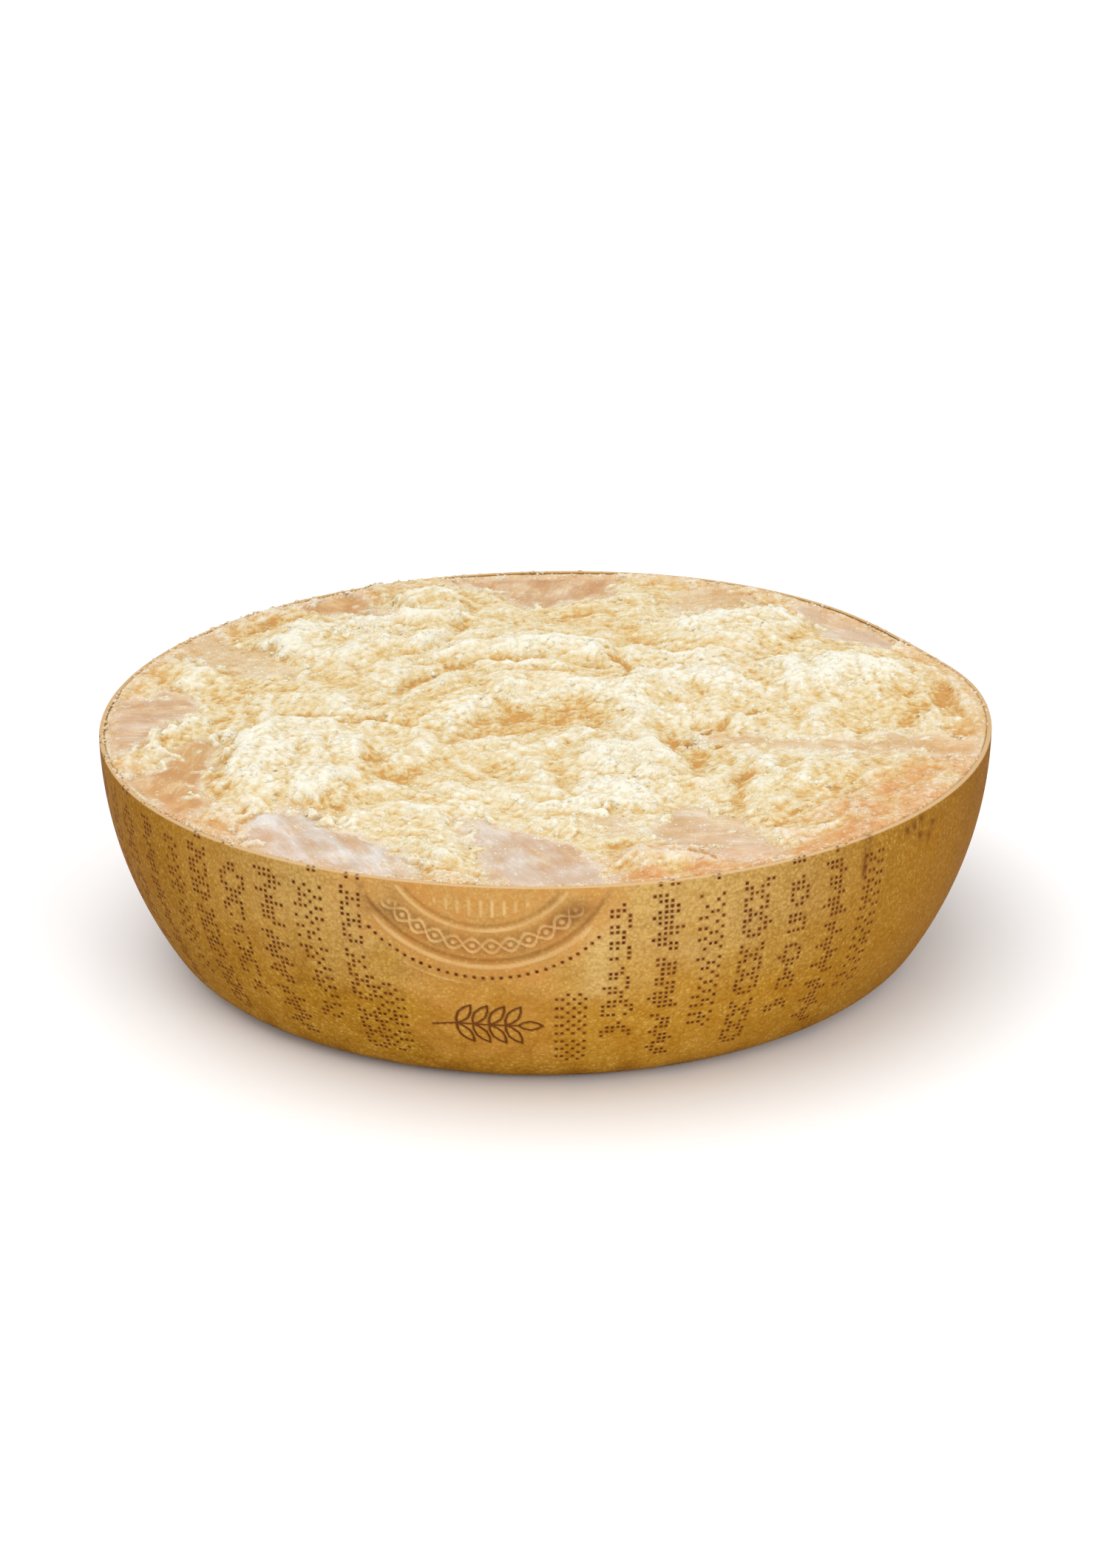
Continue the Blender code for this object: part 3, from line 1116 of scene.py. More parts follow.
@dataclass
class BrokenPaste:
    """The crumbly face and the block of paste below it, as one closed piece."""

    name: str = "paste"
    cells: int = 300
    lip: float = 2.4
    rim_band: float = 14.0
    cut_band: float = 7.0
    groove: float = 0.35
    rim_fill: float = 0.8
    brim: float = 2.2
    strays: float = 9.0
    wander: tuple[tuple[float, float, float], ...] = ((30.0, 7.0, 3.1), (11.0, 2.4, 8.7), (4.5, 1.1, 5.3))
    fray: tuple[tuple[float, float, float], ...] = ((16.0, 5.0, 24.0), (6.5, 3.0, 28.0), (3.2, 1.6, 31.0))
    crags: tuple[tuple[float, float, float, bool], ...] = (
        (46.0, 2.4, 0.0, True),
        (21.0, 1.5, 7.3, True),
        (10.0, 1.0, 14.6, False),
    )
    plug: tuple[tuple[float, float], ...] = ((3.0, 0.996), (17.0, 0.985), (34.0, 0.955), (36.0, 0.86))
    object: bpy.types.Object = field(init=False, default=None)

    def build(self, material: bpy.types.Material) -> bpy.types.Object:
        """Builds the piece.

        Args:
            material: The paste's finish.

        Returns:
            The finished object.
        """
        self.add_disc()
        mesh = self.object.data
        points = Bench.read(mesh)
        x, y = points[:, 0], points[:, 1]
        order = self.square_order(points)
        px, py, plan = self.plan_of(x, y)
        height, covers = self.relief(px, py)
        self.store_tones(mesh, px, py, height, covers, order)
        points = np.column_stack([plan, SHAPE.side + height])
        Bench.write(mesh, points)
        self.close_block()
        mesh.materials.append(material)
        mesh.shade_smooth()
        Bench.mount(self.object)
        return self.object

    def add_disc(self) -> None:
        """Adds the square grid that becomes the face."""
        Bench.clear_selection()
        bpy.ops.mesh.primitive_grid_add(x_subdivisions=self.cells, y_subdivisions=self.cells, size=2.0 * MM)
        self.object = Bench.named(self.name)

    def square_order(self, points: np.ndarray) -> np.ndarray:
        """The row-by-row order of the grid's points, to lay their heights out as a square.

        Args:
            points: The grid's points.

        Returns:
            Their numbers in that order.
        """
        across = np.rint((points[:, 0] + 1) / 2 * self.cells)
        back = np.rint((points[:, 1] + 1) / 2 * self.cells)
        return np.argsort(back * (self.cells + 1) + across)

    def plan_of(self, a: np.ndarray, b: np.ndarray) -> tuple[np.ndarray, np.ndarray, np.ndarray]:
        """Draws the square out to the disc, keeping every cell's area equal.

        Args:
            a: Place across the square, from -1 to 1.
            b: Place along the square, from -1 to 1.

        Returns:
            Plan positions across and to the back on a true circle, and the places with the side's lobes.
        """
        wide = np.abs(a) > np.abs(b)
        radius = np.where(wide, a, b)
        safe = np.where(radius == 0, 1.0, radius)
        angle = np.where(wide, math.pi / 4 * b / safe, math.pi / 2 - math.pi / 4 * a / safe)
        ux, uy = radius * np.cos(angle), radius * np.sin(angle)
        reach = SHAPE.rim - self.lip
        turned = np.arctan2(uy, ux)
        grown = reach + SHAPE.lobe(turned)
        return ux * reach, uy * reach, np.column_stack([ux * grown, uy * grown])

    def relief(self, px: np.ndarray, py: np.ndarray) -> tuple[np.ndarray, dict[str, np.ndarray]]:
        """Height of the face above the mean split level, and what covers each point.

        Args:
            px: Plan positions across.
            py: Plan positions to the back.

        Returns:
            The heights, and the covers by name.
        """
        from_rim = SHAPE.rim - np.hypot(px, py)
        wx, wy = self.wandered(px, py, self.wander)
        broad = self.crag_height(px, py)
        # tone: partly the paste's own, partly painted light on mounds and crests and painted shade in
        # hollows and clefts.
        tone = np.zeros(len(px))
        for mound in MOUNDS:
            cover = mound.cover(wx, wy)
            broad += mound.height * cover
            tone += mound.tone * cover
        for crease in CREASES:
            near = bell(crease.away(wx, wy), crease.half)
            broad += crease.height * near
            tone += crease.tone * near
        broad = self.shelved(px, py, broad) * ease(0.0, self.rim_band, from_rim)
        lumps = self.lump_height(px, py, tone) + self.rim_fill * ease(18.0, 6.0, from_rim)
        lumps *= ease(self.lip, self.lip + 1.8, from_rim) * (0.7 + 0.3 * ease(6.0, 18.0, from_rim))
        brim = 0.7 + 1.2 * sampled(noise.noise, px, py, 8.0, 41.0)
        overhang = self.brim * SHAPE.ragged(np.arctan2(py, px)) * ease(self.lip, 6.0, from_rim)
        lumps += overhang * ease(20.0, 9.0, from_rim) * brim
        covers = self.cut_in(px, py, from_rim, broad, lumps)
        height = broad + lumps + SHAPE.swell(np.arctan2(py, px)) * ease(45.0, 0.0, from_rim)
        height -= self.groove * (1 - ease(self.lip, self.lip + 1.2, from_rim))
        return height, {**covers, "tone": tone}

    def cut_in(
        self, px: np.ndarray, py: np.ndarray, from_rim: np.ndarray, broad: np.ndarray, lumps: np.ndarray
    ) -> dict[str, np.ndarray]:
        """Lays the blade cuts into the break, all but a crumbly band along the rim.

        Args:
            px: Plan positions across.
            py: Plan positions to the back.
            from_rim: Distance of each point from the rim.
            broad: The break's broad heights, lowered here to the cuts' floors.
            lumps: The break's lumps, cleared here from the cuts.

        Returns:
            The cuts' cover, painted glare, run, borders and the pale fringe round them at each point.
        """
        fx, fy = self.wandered(px, py, self.fray)
        band = from_rim - 5.0 + 3.4 * sampled(noise.noise, px, py, 6.0, 58.0)
        strewn = ease(0.12, 0.42, sampled(noise.noise, px, py, 7.5, 63.0))
        count = len(px)
        cut, glare, border, fringe = np.zeros(count), np.zeros(count), np.zeros(count), np.zeros(count)
        run = np.zeros((count, 3))
        for number, blade in enumerate(BLADE_CUTS):
            inside = blade.inside(fx, fy) - self.strays * strewn
            along, across = blade.run(px, py)
            soft, sharp = ease(-13.0, 1.5, inside), blade.bare * ease(-3.2, 3.6, np.minimum(inside, band))
            floor = self.floor_wave(along, across, number) - blade.sink
            floor *= ease(0.0, self.cut_band, from_rim)
            broad += soft * (floor - broad)
            lumps *= 1 - sharp
            # glare: the painted reflection that each cut's face takes.
            glare += sharp * (blade.glare - glare)
            way = np.column_stack([along * MM, across * MM, np.full(count, float(number))])
            run += sharp[:, None] * (way - run)
            cut = np.maximum(cut, sharp)
            border = np.maximum(border, bell(inside, 4.0))
            fringe = np.maximum(fringe, bell(inside, 9.0) * blade.bare)
        return {"cut": cut, "glare": glare, "run": run, "border": border, "fringe": fringe}

    @staticmethod
    def wandered(
        px: np.ndarray, py: np.ndarray, shifts: Iterable[tuple[float, float, float]]
    ) -> tuple[np.ndarray, np.ndarray]:
        """The plan, shifted unevenly so that no form keeps a drawn outline.

        Args:
            px: Plan positions across.
            py: Plan positions to the back.
            shifts: Size, reach and layer of each shift.

        Returns:
            The shifted plan.
        """
        wx, wy = px.copy(), py.copy()
        for size, reach, layer in shifts:
            wx += reach * sampled(noise.noise, px, py, size, layer + 0.37)
            wy += reach * sampled(noise.noise, px, py, size, layer + 57.81)
        return wx, wy

    def crag_height(self, px: np.ndarray, py: np.ndarray) -> np.ndarray:
        """The break's own roughness, drawn out along the whirl.

        Args:
            px: Plan positions across.
            py: Plan positions to the back.

        Returns:
            The heights, in millimetres.
        """
        total = np.zeros(len(px))
        for size, depth, layer, ridged in self.crags:
            wave = 1.6 * SWIRL.drawn(noise.noise, px, py, size, layer)
            total += depth * (1 - 2 * np.abs(wave) - 0.45 if ridged else wave)
        return total

    def shelved(self, px: np.ndarray, py: np.ndarray, broad: np.ndarray) -> np.ndarray:
        """Breaks the slopes into ragged shelves with steep edges.

        Args:
            px: Plan positions across.
            py: Plan positions to the back.
            broad: The broad heights.

        Returns:
            The heights with shelves.
        """
        ragged = 1.3 * SWIRL.drawn(noise.noise, px, py, 13.0, 21.5, 5, 0.3)
        ragged += 0.8 * SWIRL.drawn(noise.noise, px, py, 5.5, 33.1, 3, 0.3)
        step = 2.1
        level = (broad + 2.0 * ragged) / step
        whole = np.floor(level)
        shelf = (whole + ease(0.5, 1.0, level - whole)) * step - 2.0 * ragged
        share = 0.45 * ease(-0.25, 0.25, sampled(noise.noise, px, py, 38.0, 44.4))
        return broad + share * (shelf - broad) + 0.5 * ragged

    def lump_height(self, px: np.ndarray, py: np.ndarray, tone: np.ndarray) -> np.ndarray:
        """Rounded curd lumps on the pale mounds, drawn out into streaks along the whirl between them.

        Args:
            px: Plan positions across.
            py: Plan positions to the back.
            tone: How pale each point is.

        Returns:
            The lumps' heights.
        """
        warp = [2.2 * sampled(noise.noise, px, py, 7.0, layer) for layer in (50.0, 60.0)]
        wx, wy = px + warp[0], py + warp[1]
        total = np.zeros(len(px))
        for size, depth, layer in ((7.6, 1.5, 2.2), (4.2, 1.05, 9.9)):
            near = np.array([noise.voronoi((a, b, layer))[0][:2] for a, b in zip(wx / size, wy / size)])
            gap = np.clip((near[:, 1] - near[:, 0]) * 3.0, 0.0, 1.0)
            dome = 0.6 * (1 - near[:, 0] ** 2) + 0.4 * gap
            total += depth * (dome - dome.mean())
        streaks = np.zeros(len(px))
        for size, depth, layer in ((4.2, 2.4, 5.1), (2.6, 1.3, 17.3)):
            dome = SWIRL.drawn(self.curd, px, py, size, layer, 7, 0.5)
            streaks += depth * (dome - dome.mean())
        drawn_out = ease(0.24, 0.05, tone)
        total = total * (1.15 - 0.7 * drawn_out) + streaks * (0.2 + 0.7 * drawn_out)
        total += 0.35 * SWIRL.drawn(noise.noise, px, py, 3.4, 71.0, 3, 0.35)
        total += 0.12 * sampled(noise.noise, px, py, 1.9, 77.0)
        return total

    @staticmethod
    def curd(point: Sequence[float]) -> float:
        """A dome over each cell of the plan, as packed curds show."""
        return 1 - noise.voronoi(point)[0][0] ** 2

    @staticmethod
    def floor_wave(along: np.ndarray, across: np.ndarray, number: int) -> np.ndarray:
        """The slight waves and score lines that a blade leaves.

        Args:
            along: Lengths along the blade's path.
            across: Lengths across it.
            number: The cut's number, for its own pattern.

        Returns:
            The heights.
        """
        layer = 3.7 * number + 0.5
        slow = sampled(noise.noise, along, across, 26.0, layer)
        scored = sampled(noise.noise, along * 0.08, across, 2.6, layer)
        return 0.8 * slow + 0.08 * scored

    def store_tones(
        self,
        mesh: bpy.types.Mesh,
        px: np.ndarray,
        py: np.ndarray,
        height: np.ndarray,
        covers: dict[str, np.ndarray],
        order: np.ndarray,
    ) -> None:
        """Stores what the paste's finish reads: crests and hollows, painted lighter and darker as painted
        light and shade, cuts, their painted glare and run, and the warm rim.

        Args:
            mesh: The finished grid.
            px: Plan positions across.
            py: Plan positions to the back.
            height: Height of each point.
            covers: What covers each point, by name.
            order: The points' row-by-row order.
        """
        side = self.cells + 1
        square = height[order].reshape(side, side)
        # Height above the blurred surroundings at three sizes: crests painted lighter as painted highlight,
        # hollows darker as painted shade.
        close = square - smoothed(square, 1)
        mid = square - smoothed(square, 4)
        wide = square - smoothed(square, 12)
        crest = np.empty(len(height))
        crest[order] = (0.18 * close / 0.4 + 0.14 * mid / 1.2 + 0.07 * wide / 3.0).ravel()
        radius = np.hypot(px, py)
        crest = np.clip(crest, -0.5, 0.4) * ease(self.lip, self.lip + 4.0, SHAPE.rim - radius)
        crest += 0.5 + 0.75 * covers["tone"] + 0.16 * covers["fringe"] - 0.14 * ease(130.0, 190.0, radius)
        crest += 0.2 * SWIRL.drawn(noise.noise, px, py, 24.0, 91.0, 5, 0.3)
        crest += 0.3 * SWIRL.drawn(noise.noise, px, py, 6.5, 95.0, 9, 0.4) * ease(0.26, 0.0, covers["tone"])
        angle = np.degrees(np.arctan2(py, px))
        rim = ease(SHAPE.rim - 26.0, SHAPE.rim - 3.0, radius)
        right = bell(angle + 38, 24) * ease(SHAPE.rim - 62.0, SHAPE.rim - 14.0, radius)
        front = bell(angle + 74, 11) * ease(SHAPE.rim - 50.0, SHAPE.rim - 22.0, radius)
        blotch = 0.5 + 0.9 * sampled(noise.noise, px, py, 17.0, 15.0)
        left = bell(angle + 139, 12) * ease(SHAPE.rim - 46.0, SHAPE.rim - 20.0, radius)
        warm = np.clip(0.42 * rim + (1.3 * right + 1.5 * front + 0.8 * left) * blotch, 0.0, 1.0)
        Bench.paint(mesh, "crest", crest)
        for name in ("cut", "glare", "run"):
            Bench.paint(mesh, name, covers[name])
        Bench.paint(mesh, "warm", warm)
        Bench.paint(mesh, "border", np.maximum(covers["border"], 0.8 * ease(11.0, 3.0, SHAPE.rim - radius)))

    def close_block(self) -> None:
        """Draws the rim down inside the rind and closes it flat, out of sight."""
        Bench.clear_selection()
        bpy.context.view_layer.objects.active = self.object
        self.object.select_set(True)
        bpy.ops.object.mode_set(mode="EDIT")
        bpy.ops.mesh.select_mode(type="EDGE")
        bpy.ops.mesh.select_all(action="DESELECT")
        bpy.ops.mesh.select_non_manifold(extend=False)
        for drop, grow in self.plug:
            Bench.ring(drop, grow)
        bpy.ops.transform.resize(value=(1.0, 1.0, 0.0), center_override=(0.0, 0.0, 20.0 * MM))
        bpy.ops.mesh.edge_face_add()
        bpy.ops.mesh.select_all(action="SELECT")
        bpy.ops.mesh.normals_make_consistent(inside=False)
        bpy.ops.object.mode_set(mode="OBJECT")


# The grains on the break


@dataclass
class BreakGrains:
    """Thousands of small broken grains and flakes that stand on the break, joined into one piece."""

    name: str
    count: int
    size: tuple[float, float]
    flat: tuple[float, float]
    sink: float
    seed: int
    on_cut: float = 0.05
    spill: float = 0.0
    # How much darker each grain's sides are painted than its top: painted shade.
    side_shade: float = 0.18
    drawn_from: int = 91000

    def build(self, paste: bpy.types.Object, material: bpy.types.Material) -> bpy.types.Object:
        """Builds the grains over the finished paste.

        Args:
            paste: The paste whose face carries them.
            material: The grains' finish.

        Returns:
            The finished object.
        """
        rng = np.random.default_rng(self.seed)
        shapes = [self.grain_shape(rng) for _ in range(5)]
        mesh = paste.data
        points = Bench.read(mesh)
        normals = np.empty(len(points) * 3)
        mesh.vertices.foreach_get("normal", normals)
        normals = normals.reshape(-1, 3)
        face = self.face_points(points)
        tones = {name: self.stored(mesh, name) for name in ("crest", "cut", "warm", "border")}
        chosen = rng.choice(face, self.count, replace=False, p=self.chances(points, tones, face))
        vertices, faces = shapes[0]
        corner_count = len(vertices)
        sizes = self.size[0] * (self.size[1] / self.size[0]) ** (rng.random(self.count) ** 1.8)
        spots = points[chosen] + rng.normal(0.0, 0.35, (self.count, 3)) * (1, 1, 0)
        spots = self.spilled(spots, rng)
        spots -= normals[chosen] * (sizes * self.sink)[:, None]
        turns = self.random_turns(rng, self.count)
        flats = rng.uniform(self.flat[0], self.flat[1], self.count)
        picks = rng.integers(0, len(shapes), self.count)
        stacked = np.stack([shape[0] for shape in shapes])[picks]
        spans = np.stack([sizes, sizes * rng.uniform(0.7, 1.0, self.count), sizes * flats], axis=1)
        stacked = stacked * spans[:, None, :]
        placed = np.einsum("nij,nkj->nki", turns, stacked) + spots[:, None, :]
        firsts = corner_count * np.arange(self.count)
        corners = (np.asarray(faces)[None] + firsts[:, None, None]).reshape(-1, 3)
        built = bpy.data.meshes.new(self.name)
        built.from_pydata((placed.reshape(-1, 3) * MM).tolist(), [], corners.tolist())
        lift = rng.normal(0.09, 0.13, self.count)
        # Each grain is painted lighter at its top and darker down its sides, as painted light and shade.
        raised = (placed - spots[:, None, :])[:, :, 2] / sizes[:, None]
        crest = np.minimum(tones["crest"][chosen] + lift, 0.82)[:, None] + self.side_shade * raised
        Bench.paint(built, "crest", crest.ravel())
        Bench.paint(built, "warm", np.repeat(tones["warm"][chosen], corner_count))
        made = bpy.data.objects.new(self.name, built)
        bpy.context.scene.collection.objects.link(made)
        built.materials.append(material)
        built.shade_smooth()
        Bench.mount(made)
        return made

    @staticmethod
    def stored(mesh: bpy.types.Mesh, name: str) -> np.ndarray:
        """The numbers that the mesh stores under that name.

        Args:
            mesh: The mesh to read.
            name: The stored name.

        Returns:
            One number for each point.
        """
        values = np.empty(len(mesh.vertices))
        mesh.attributes[name].data.foreach_get("value", values)
        return values

    def face_points(self, points: np.ndarray) -> np.ndarray:
        """Which of the paste's first points may carry a grain: those above the hidden plug."""
        return np.flatnonzero(points[:, 2] > SHAPE.side - 20.0)[: self.drawn_from]

    def chances(self, points: np.ndarray, tones: dict[str, np.ndarray], face: np.ndarray) -> np.ndarray:
        """How likely each point is to carry a grain.

        Args:
            points: The paste's points.
            tones: Its stored numbers, by name.
            face: Which points lie on the broken face.

        Returns:
            Chances that add up to 1.
        """
        clumps = sampled(noise.noise, points[face, 0], points[face, 1], 14.0, 12.0 + self.seed)
        share = 0.25 + 0.75 * ease(-0.3, 0.5, clumps)
        bare = tones["cut"][face] * (1 - self.on_cut) * (1 - 0.7 * tones["border"][face])
        share *= (1 - bare) * (0.5 + np.clip(tones["crest"][face], 0.0, 1.0))
        share *= 1 + 1.4 * tones["border"][face]
        radius = np.hypot(points[face, 0], points[face, 1])
        angle = np.arctan2(points[face, 1], points[face, 0])
        share *= 1 + 2.5 * SHAPE.ragged(angle) * ease(14.0, 6.0, SHAPE.rim - radius)
        return share / share.sum()

    def spilled(self, spots: np.ndarray, rng: np.random.Generator) -> np.ndarray:
        """Moves grains near the rim at the back left out over the lip, and keeps all on the wheel.

        Args:
            spots: The grains' places.
            rng: Draws the grains that move.

        Returns:
            The new places.
        """
        angle, radius = np.arctan2(spots[:, 1], spots[:, 0]), np.hypot(spots[:, 0], spots[:, 1])
        there = SHAPE.ragged(angle) * ease(9.0, 4.0, SHAPE.rim - radius)
        reach = np.minimum(radius + self.spill * there * rng.random(len(spots)), SHAPE.rim - 0.9)
        over = ease(SHAPE.rim - 3.0, SHAPE.rim - 1.8, reach)
        level = SHAPE.side + SHAPE.swell(angle) + 0.25
        height = spots[:, 2] + over * (np.maximum(level, spots[:, 2]) - spots[:, 2])
        grown = reach + SHAPE.lobe(angle) * over
        return np.column_stack([grown * np.cos(angle), grown * np.sin(angle), height])

    def grain_shape(self, rng: np.random.Generator) -> tuple[np.ndarray, list[tuple[int, ...]]]:
        """One uneven grain, from a ball of twenty faces pushed out of round.

        Args:
            rng: Draws the unevenness.

        Returns:
            The ball's points and its faces.
        """
        Bench.clear_selection()
        bpy.ops.mesh.primitive_ico_sphere_add(subdivisions=1, radius=1.0)
        ball = bpy.context.object
        points = np.array([vertex.co[:] for vertex in ball.data.vertices])
        points *= rng.uniform(0.72, 1.25, (len(points), 1))
        faces = [tuple(face.vertices) for face in ball.data.polygons]
        mesh = ball.data
        bpy.data.objects.remove(ball)
        bpy.data.meshes.remove(mesh)
        return points, faces

    @staticmethod
    def random_turns(rng: np.random.Generator, count: int) -> np.ndarray:
        """Rotation matrices: any way round, and tilted by up to some thirty degrees.

        Args:
            rng: Draws the turns.
            count: How many.

        Returns:
            A matrix for each grain.
        """
        spin = rng.uniform(0, 2 * math.pi, count)
        tilt_x, tilt_y = rng.normal(0, 0.35, count), rng.normal(0, 0.35, count)
        cz, sz = np.cos(spin), np.sin(spin)
        cx, sx = np.cos(tilt_x), np.sin(tilt_x)
        cy, sy = np.cos(tilt_y), np.sin(tilt_y)
        zero, one = np.zeros(count), np.ones(count)
        about_z = np.array([[cz, -sz, zero], [sz, cz, zero], [zero, zero, one]]).transpose(2, 0, 1)
        about_x = np.array([[one, zero, zero], [zero, cx, -sx], [zero, sx, cx]]).transpose(2, 0, 1)
        about_y = np.array([[cy, zero, sy], [zero, one, zero], [-sy, zero, cy]]).transpose(2, 0, 1)
        return about_x @ about_y @ about_z


# The rind


class Motif(Enum):
    """Pricked bands for the columns, one character a hole, five holes wide and repeated down the column."""

    LOZENGES = ("..#..", ".###.", "##.##", "#...#", "##.##", ".###.")
    WAVES = ("###..", ".###.", "..###", ".###.")
    CHECKS = ("#.#.#", ".#.#.")
    LATTICE = ("#...#", "##.##", ".###.", "##.##")


@dataclass
class Rind:
    """The wheel's skin as one closed shell: cut lip, pricked side, pressed medallion, foot and base."""

    name: str = "rind"
    around: int = 496
    row: float = 2.8
    thick: float = 5.0
    right_cell: int = 10
    left_cell: int = -35
    short_cells: tuple[int, int] = (-30, 2)
    column_cells: int = 8
    bare_columns: tuple[int, int] = (7, 12)
    ticked_columns: tuple[int, int] = (-12, 12)
    hole: float = 0.8
    hole_depth: float = 0.7
    long_rows: tuple[int, int] = (2, 37)
    short_rows: tuple[int, int] = (3, 31)
    seal_at: float = -7.8
    seal_above: float = 25.0
    seal_dots: float = 73.0
    seal_half: float = 52.5
    seal_rims: tuple[tuple[float, float, float], ...] = (
        (66.5, 1.2, 1.1), (63.2, 1.3, -0.6), (47.0, 1.0, 0.9), (44.6, 0.9, -0.45)
    )
    seal_skin: float = 216.0  # radius that turns a bearing into a length near the medallion
    twist: float = 55.2
    twist_swing: float = 3.4
    twist_step: float = 9.0
    object: bpy.types.Object = field(init=False, default=None)

    def build(self, skin: bpy.types.Material, prick: bpy.types.Material) -> bpy.types.Object:
        """Builds the piece.

        Args:
            skin: The rind's finish.
            prick: The finish inside the pricked holes.

        Returns:
            The finished object.
        """
        self.spin_shell()
        mesh = self.object.data
        mesh.materials.append(skin)
        mesh.materials.append(prick)
        self.refine_patches()
        self.press_patches()
        self.prick_columns()
        self.prick_arc()
        self.store_tones()
        self.unround()
        mesh.shade_smooth()
        Bench.mount(self.object)
        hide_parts(NODE)
        return self.object

    def rows(self) -> list[Point]:
        """Radius and height of every ring, from the floor's inside over the lip to the base's middle.

        Returns:
            The rings, in millimetres.
        """
        side_rows = [self.row * step for step in range(1, round(SHAPE.run / self.row))]
        inner = [SHAPE.at(run, self.thick) for run in (SHAPE.run, SHAPE.arc * SHAPE.turn, 60.0, 20.0)]
        rings = [(40.0, self.thick), *inner]
        lip = ((217.2, 4.0), (217.5, 0.7), (217.8, 0.15), (218.4, 0), (219.3, 0), (219.8, 0.3), (220.0, 0.9))
        rings += [(radius, SHAPE.side - down) for radius, down in lip]
        rings += [SHAPE.at(run) for run in side_rows]
        rings += [SHAPE.at(SHAPE.run), (140.0, 0.0), (90.0, 0.0), (40.0, 0.0)]
        return rings

    def spin_shell(self) -> None:
        """Draws the shell out ring by ring and closes both ends at the axis."""
        Bench.clear_selection()
        rings = self.rows()
        first_radius, first_height = rings[0]
        bpy.ops.mesh.primitive_circle_add(
            vertices=self.around, radius=first_radius * MM, location=(0.0, 0.0, first_height * MM)
        )
        self.object = Bench.named(self.name)
        bpy.ops.object.transform_apply(location=True, rotation=True, scale=True)
        bpy.ops.object.mode_set(mode="EDIT")
        bpy.ops.mesh.select_mode(type="VERT")
        bpy.ops.mesh.select_all(action="SELECT")
        for (radius, height), (next_radius, next_height) in zip(rings, rings[1:]):
            Bench.ring(height - next_height, next_radius / radius)
        for radius, height in (rings[-1], rings[0]):
            self.select_ring(radius, height)
            bpy.ops.mesh.extrude_edges_move()
            bpy.ops.mesh.merge(type="CENTER")
        bpy.ops.mesh.select_all(action="SELECT")
        bpy.ops.mesh.normals_make_consistent(inside=False)
        bpy.ops.object.mode_set(mode="OBJECT")

    def select_ring(self, radius: float, height: float) -> None:
        """Selects the ring of points at that radius and height.

        Args:
            radius: The ring's radius.
            height: Its height.
        """
        bpy.ops.mesh.select_all(action="DESELECT")
        cage = bmesh.from_edit_mesh(self.object.data)
        for vert in cage.verts:
            away = math.hypot(vert.co.x, vert.co.y) / MM - radius
            vert.select = abs(away) < 0.05 and abs(vert.co.z / MM - height) < 0.05
        cage.select_flush_mode()
        bmesh.update_edit_mesh(self.object.data)

    @staticmethod
    def bearing(x: float, y: float) -> float:
        """Direction of a point from the axis, in degrees, 0 at the front and growing to the right."""
        return math.degrees(math.atan2(x, -y))

    def cell_of(self, centre: Vector) -> tuple[int, int]:
        """Column and row of the cell that holds a point of the skin, or a row of -1 off the side.

        Args:
            centre: The point, in metres.

        Returns:
            The column and the row.
        """
        run = float(SHAPE.run_at(np.array([centre.z / MM]))[0])
        outside = math.hypot(centre.x, centre.y) / MM > SHAPE.at(min(run, SHAPE.run))[0] - 1.5
        column = math.floor(self.bearing(centre.x, centre.y) / (360.0 / self.around) + 0.5)
        return column, math.floor(run / self.row) if outside and centre.z > 0.4 * MM else -1

    def pricked(self, column: int, row: int) -> bool:
        """Whether a hole is pricked in that cell of the side.

        Args:
            column: The cell's column.
            row: The cell's row.

        Returns:
            True where there is a hole.
        """
        if column >= self.right_cell:
            number, across = divmod(column - self.right_cell, self.column_cells)
        else:
            number, across = divmod(column - self.left_cell, self.column_cells)
            number -= 1
        start, end = self.long_rows if number % 2 else self.short_rows
        for cell in self.short_cells:
            if cell <= column < cell + 5 and row >= 15:
                number, across, start, end = cell, column - cell, 19, 37
        between = self.left_cell + 5 <= column < self.right_cell and start < 15
        if across > 4 or between or self.bare_columns[0] <= number <= self.bare_columns[1]:
            return False
        if row == 0:
            return across in (1, 3) and number % 3 > 0 and number in range(*self.ticked_columns)
        if not start <= row < end:
            return False
        inside = (row - start) % 12
        motifs = tuple(Motif)
        rows = motifs[number % len(motifs)].value
        return inside < 11 and rows[inside % len(rows)][across] == "#"

    def patch_of(self, column: int, row: int) -> str:
        """Which of the two finely modelled patches a cell lies in, or an empty name.

        Args:
            column: The cell's column.
            row: The cell's row.

        Returns:
            seal, sprig or nothing.
        """
        if -30 <= column <= 9 and 0 <= row <= 18:
            return "seal"
        return "sprig" if -21 <= column <= 0 and 21 <= row <= 33 else ""

    def refine_patches(self) -> None:
        """Divides the cells of the medallion and the sprig, so that their relief is real."""
        bpy.ops.object.mode_set(mode="EDIT")
        bpy.ops.mesh.select_mode(type="FACE")
        for patch, cuts in (("seal", 3), ("sprig", 4)):
            bpy.ops.mesh.select_all(action="DESELECT")
            cage = bmesh.from_edit_mesh(self.object.data)
            for face in cage.faces:
                face.select = self.patch_of(*self.cell_of(face.calc_center_median())) == patch
            bmesh.update_edit_mesh(self.object.data)
            bpy.ops.mesh.subdivide(number_cuts=cuts)
        bpy.ops.object.mode_set(mode="OBJECT")

    def seal_place(self, points: np.ndarray) -> tuple[np.ndarray, np.ndarray]:
        """Where points lie on the skin from the medallion's bearing: across it, and down from the rim."""
        bearing = np.degrees(np.arctan2(points[:, 0], -points[:, 1]))
        return np.radians(bearing - self.seal_at) * self.seal_skin, SHAPE.run_at(points[:, 2])

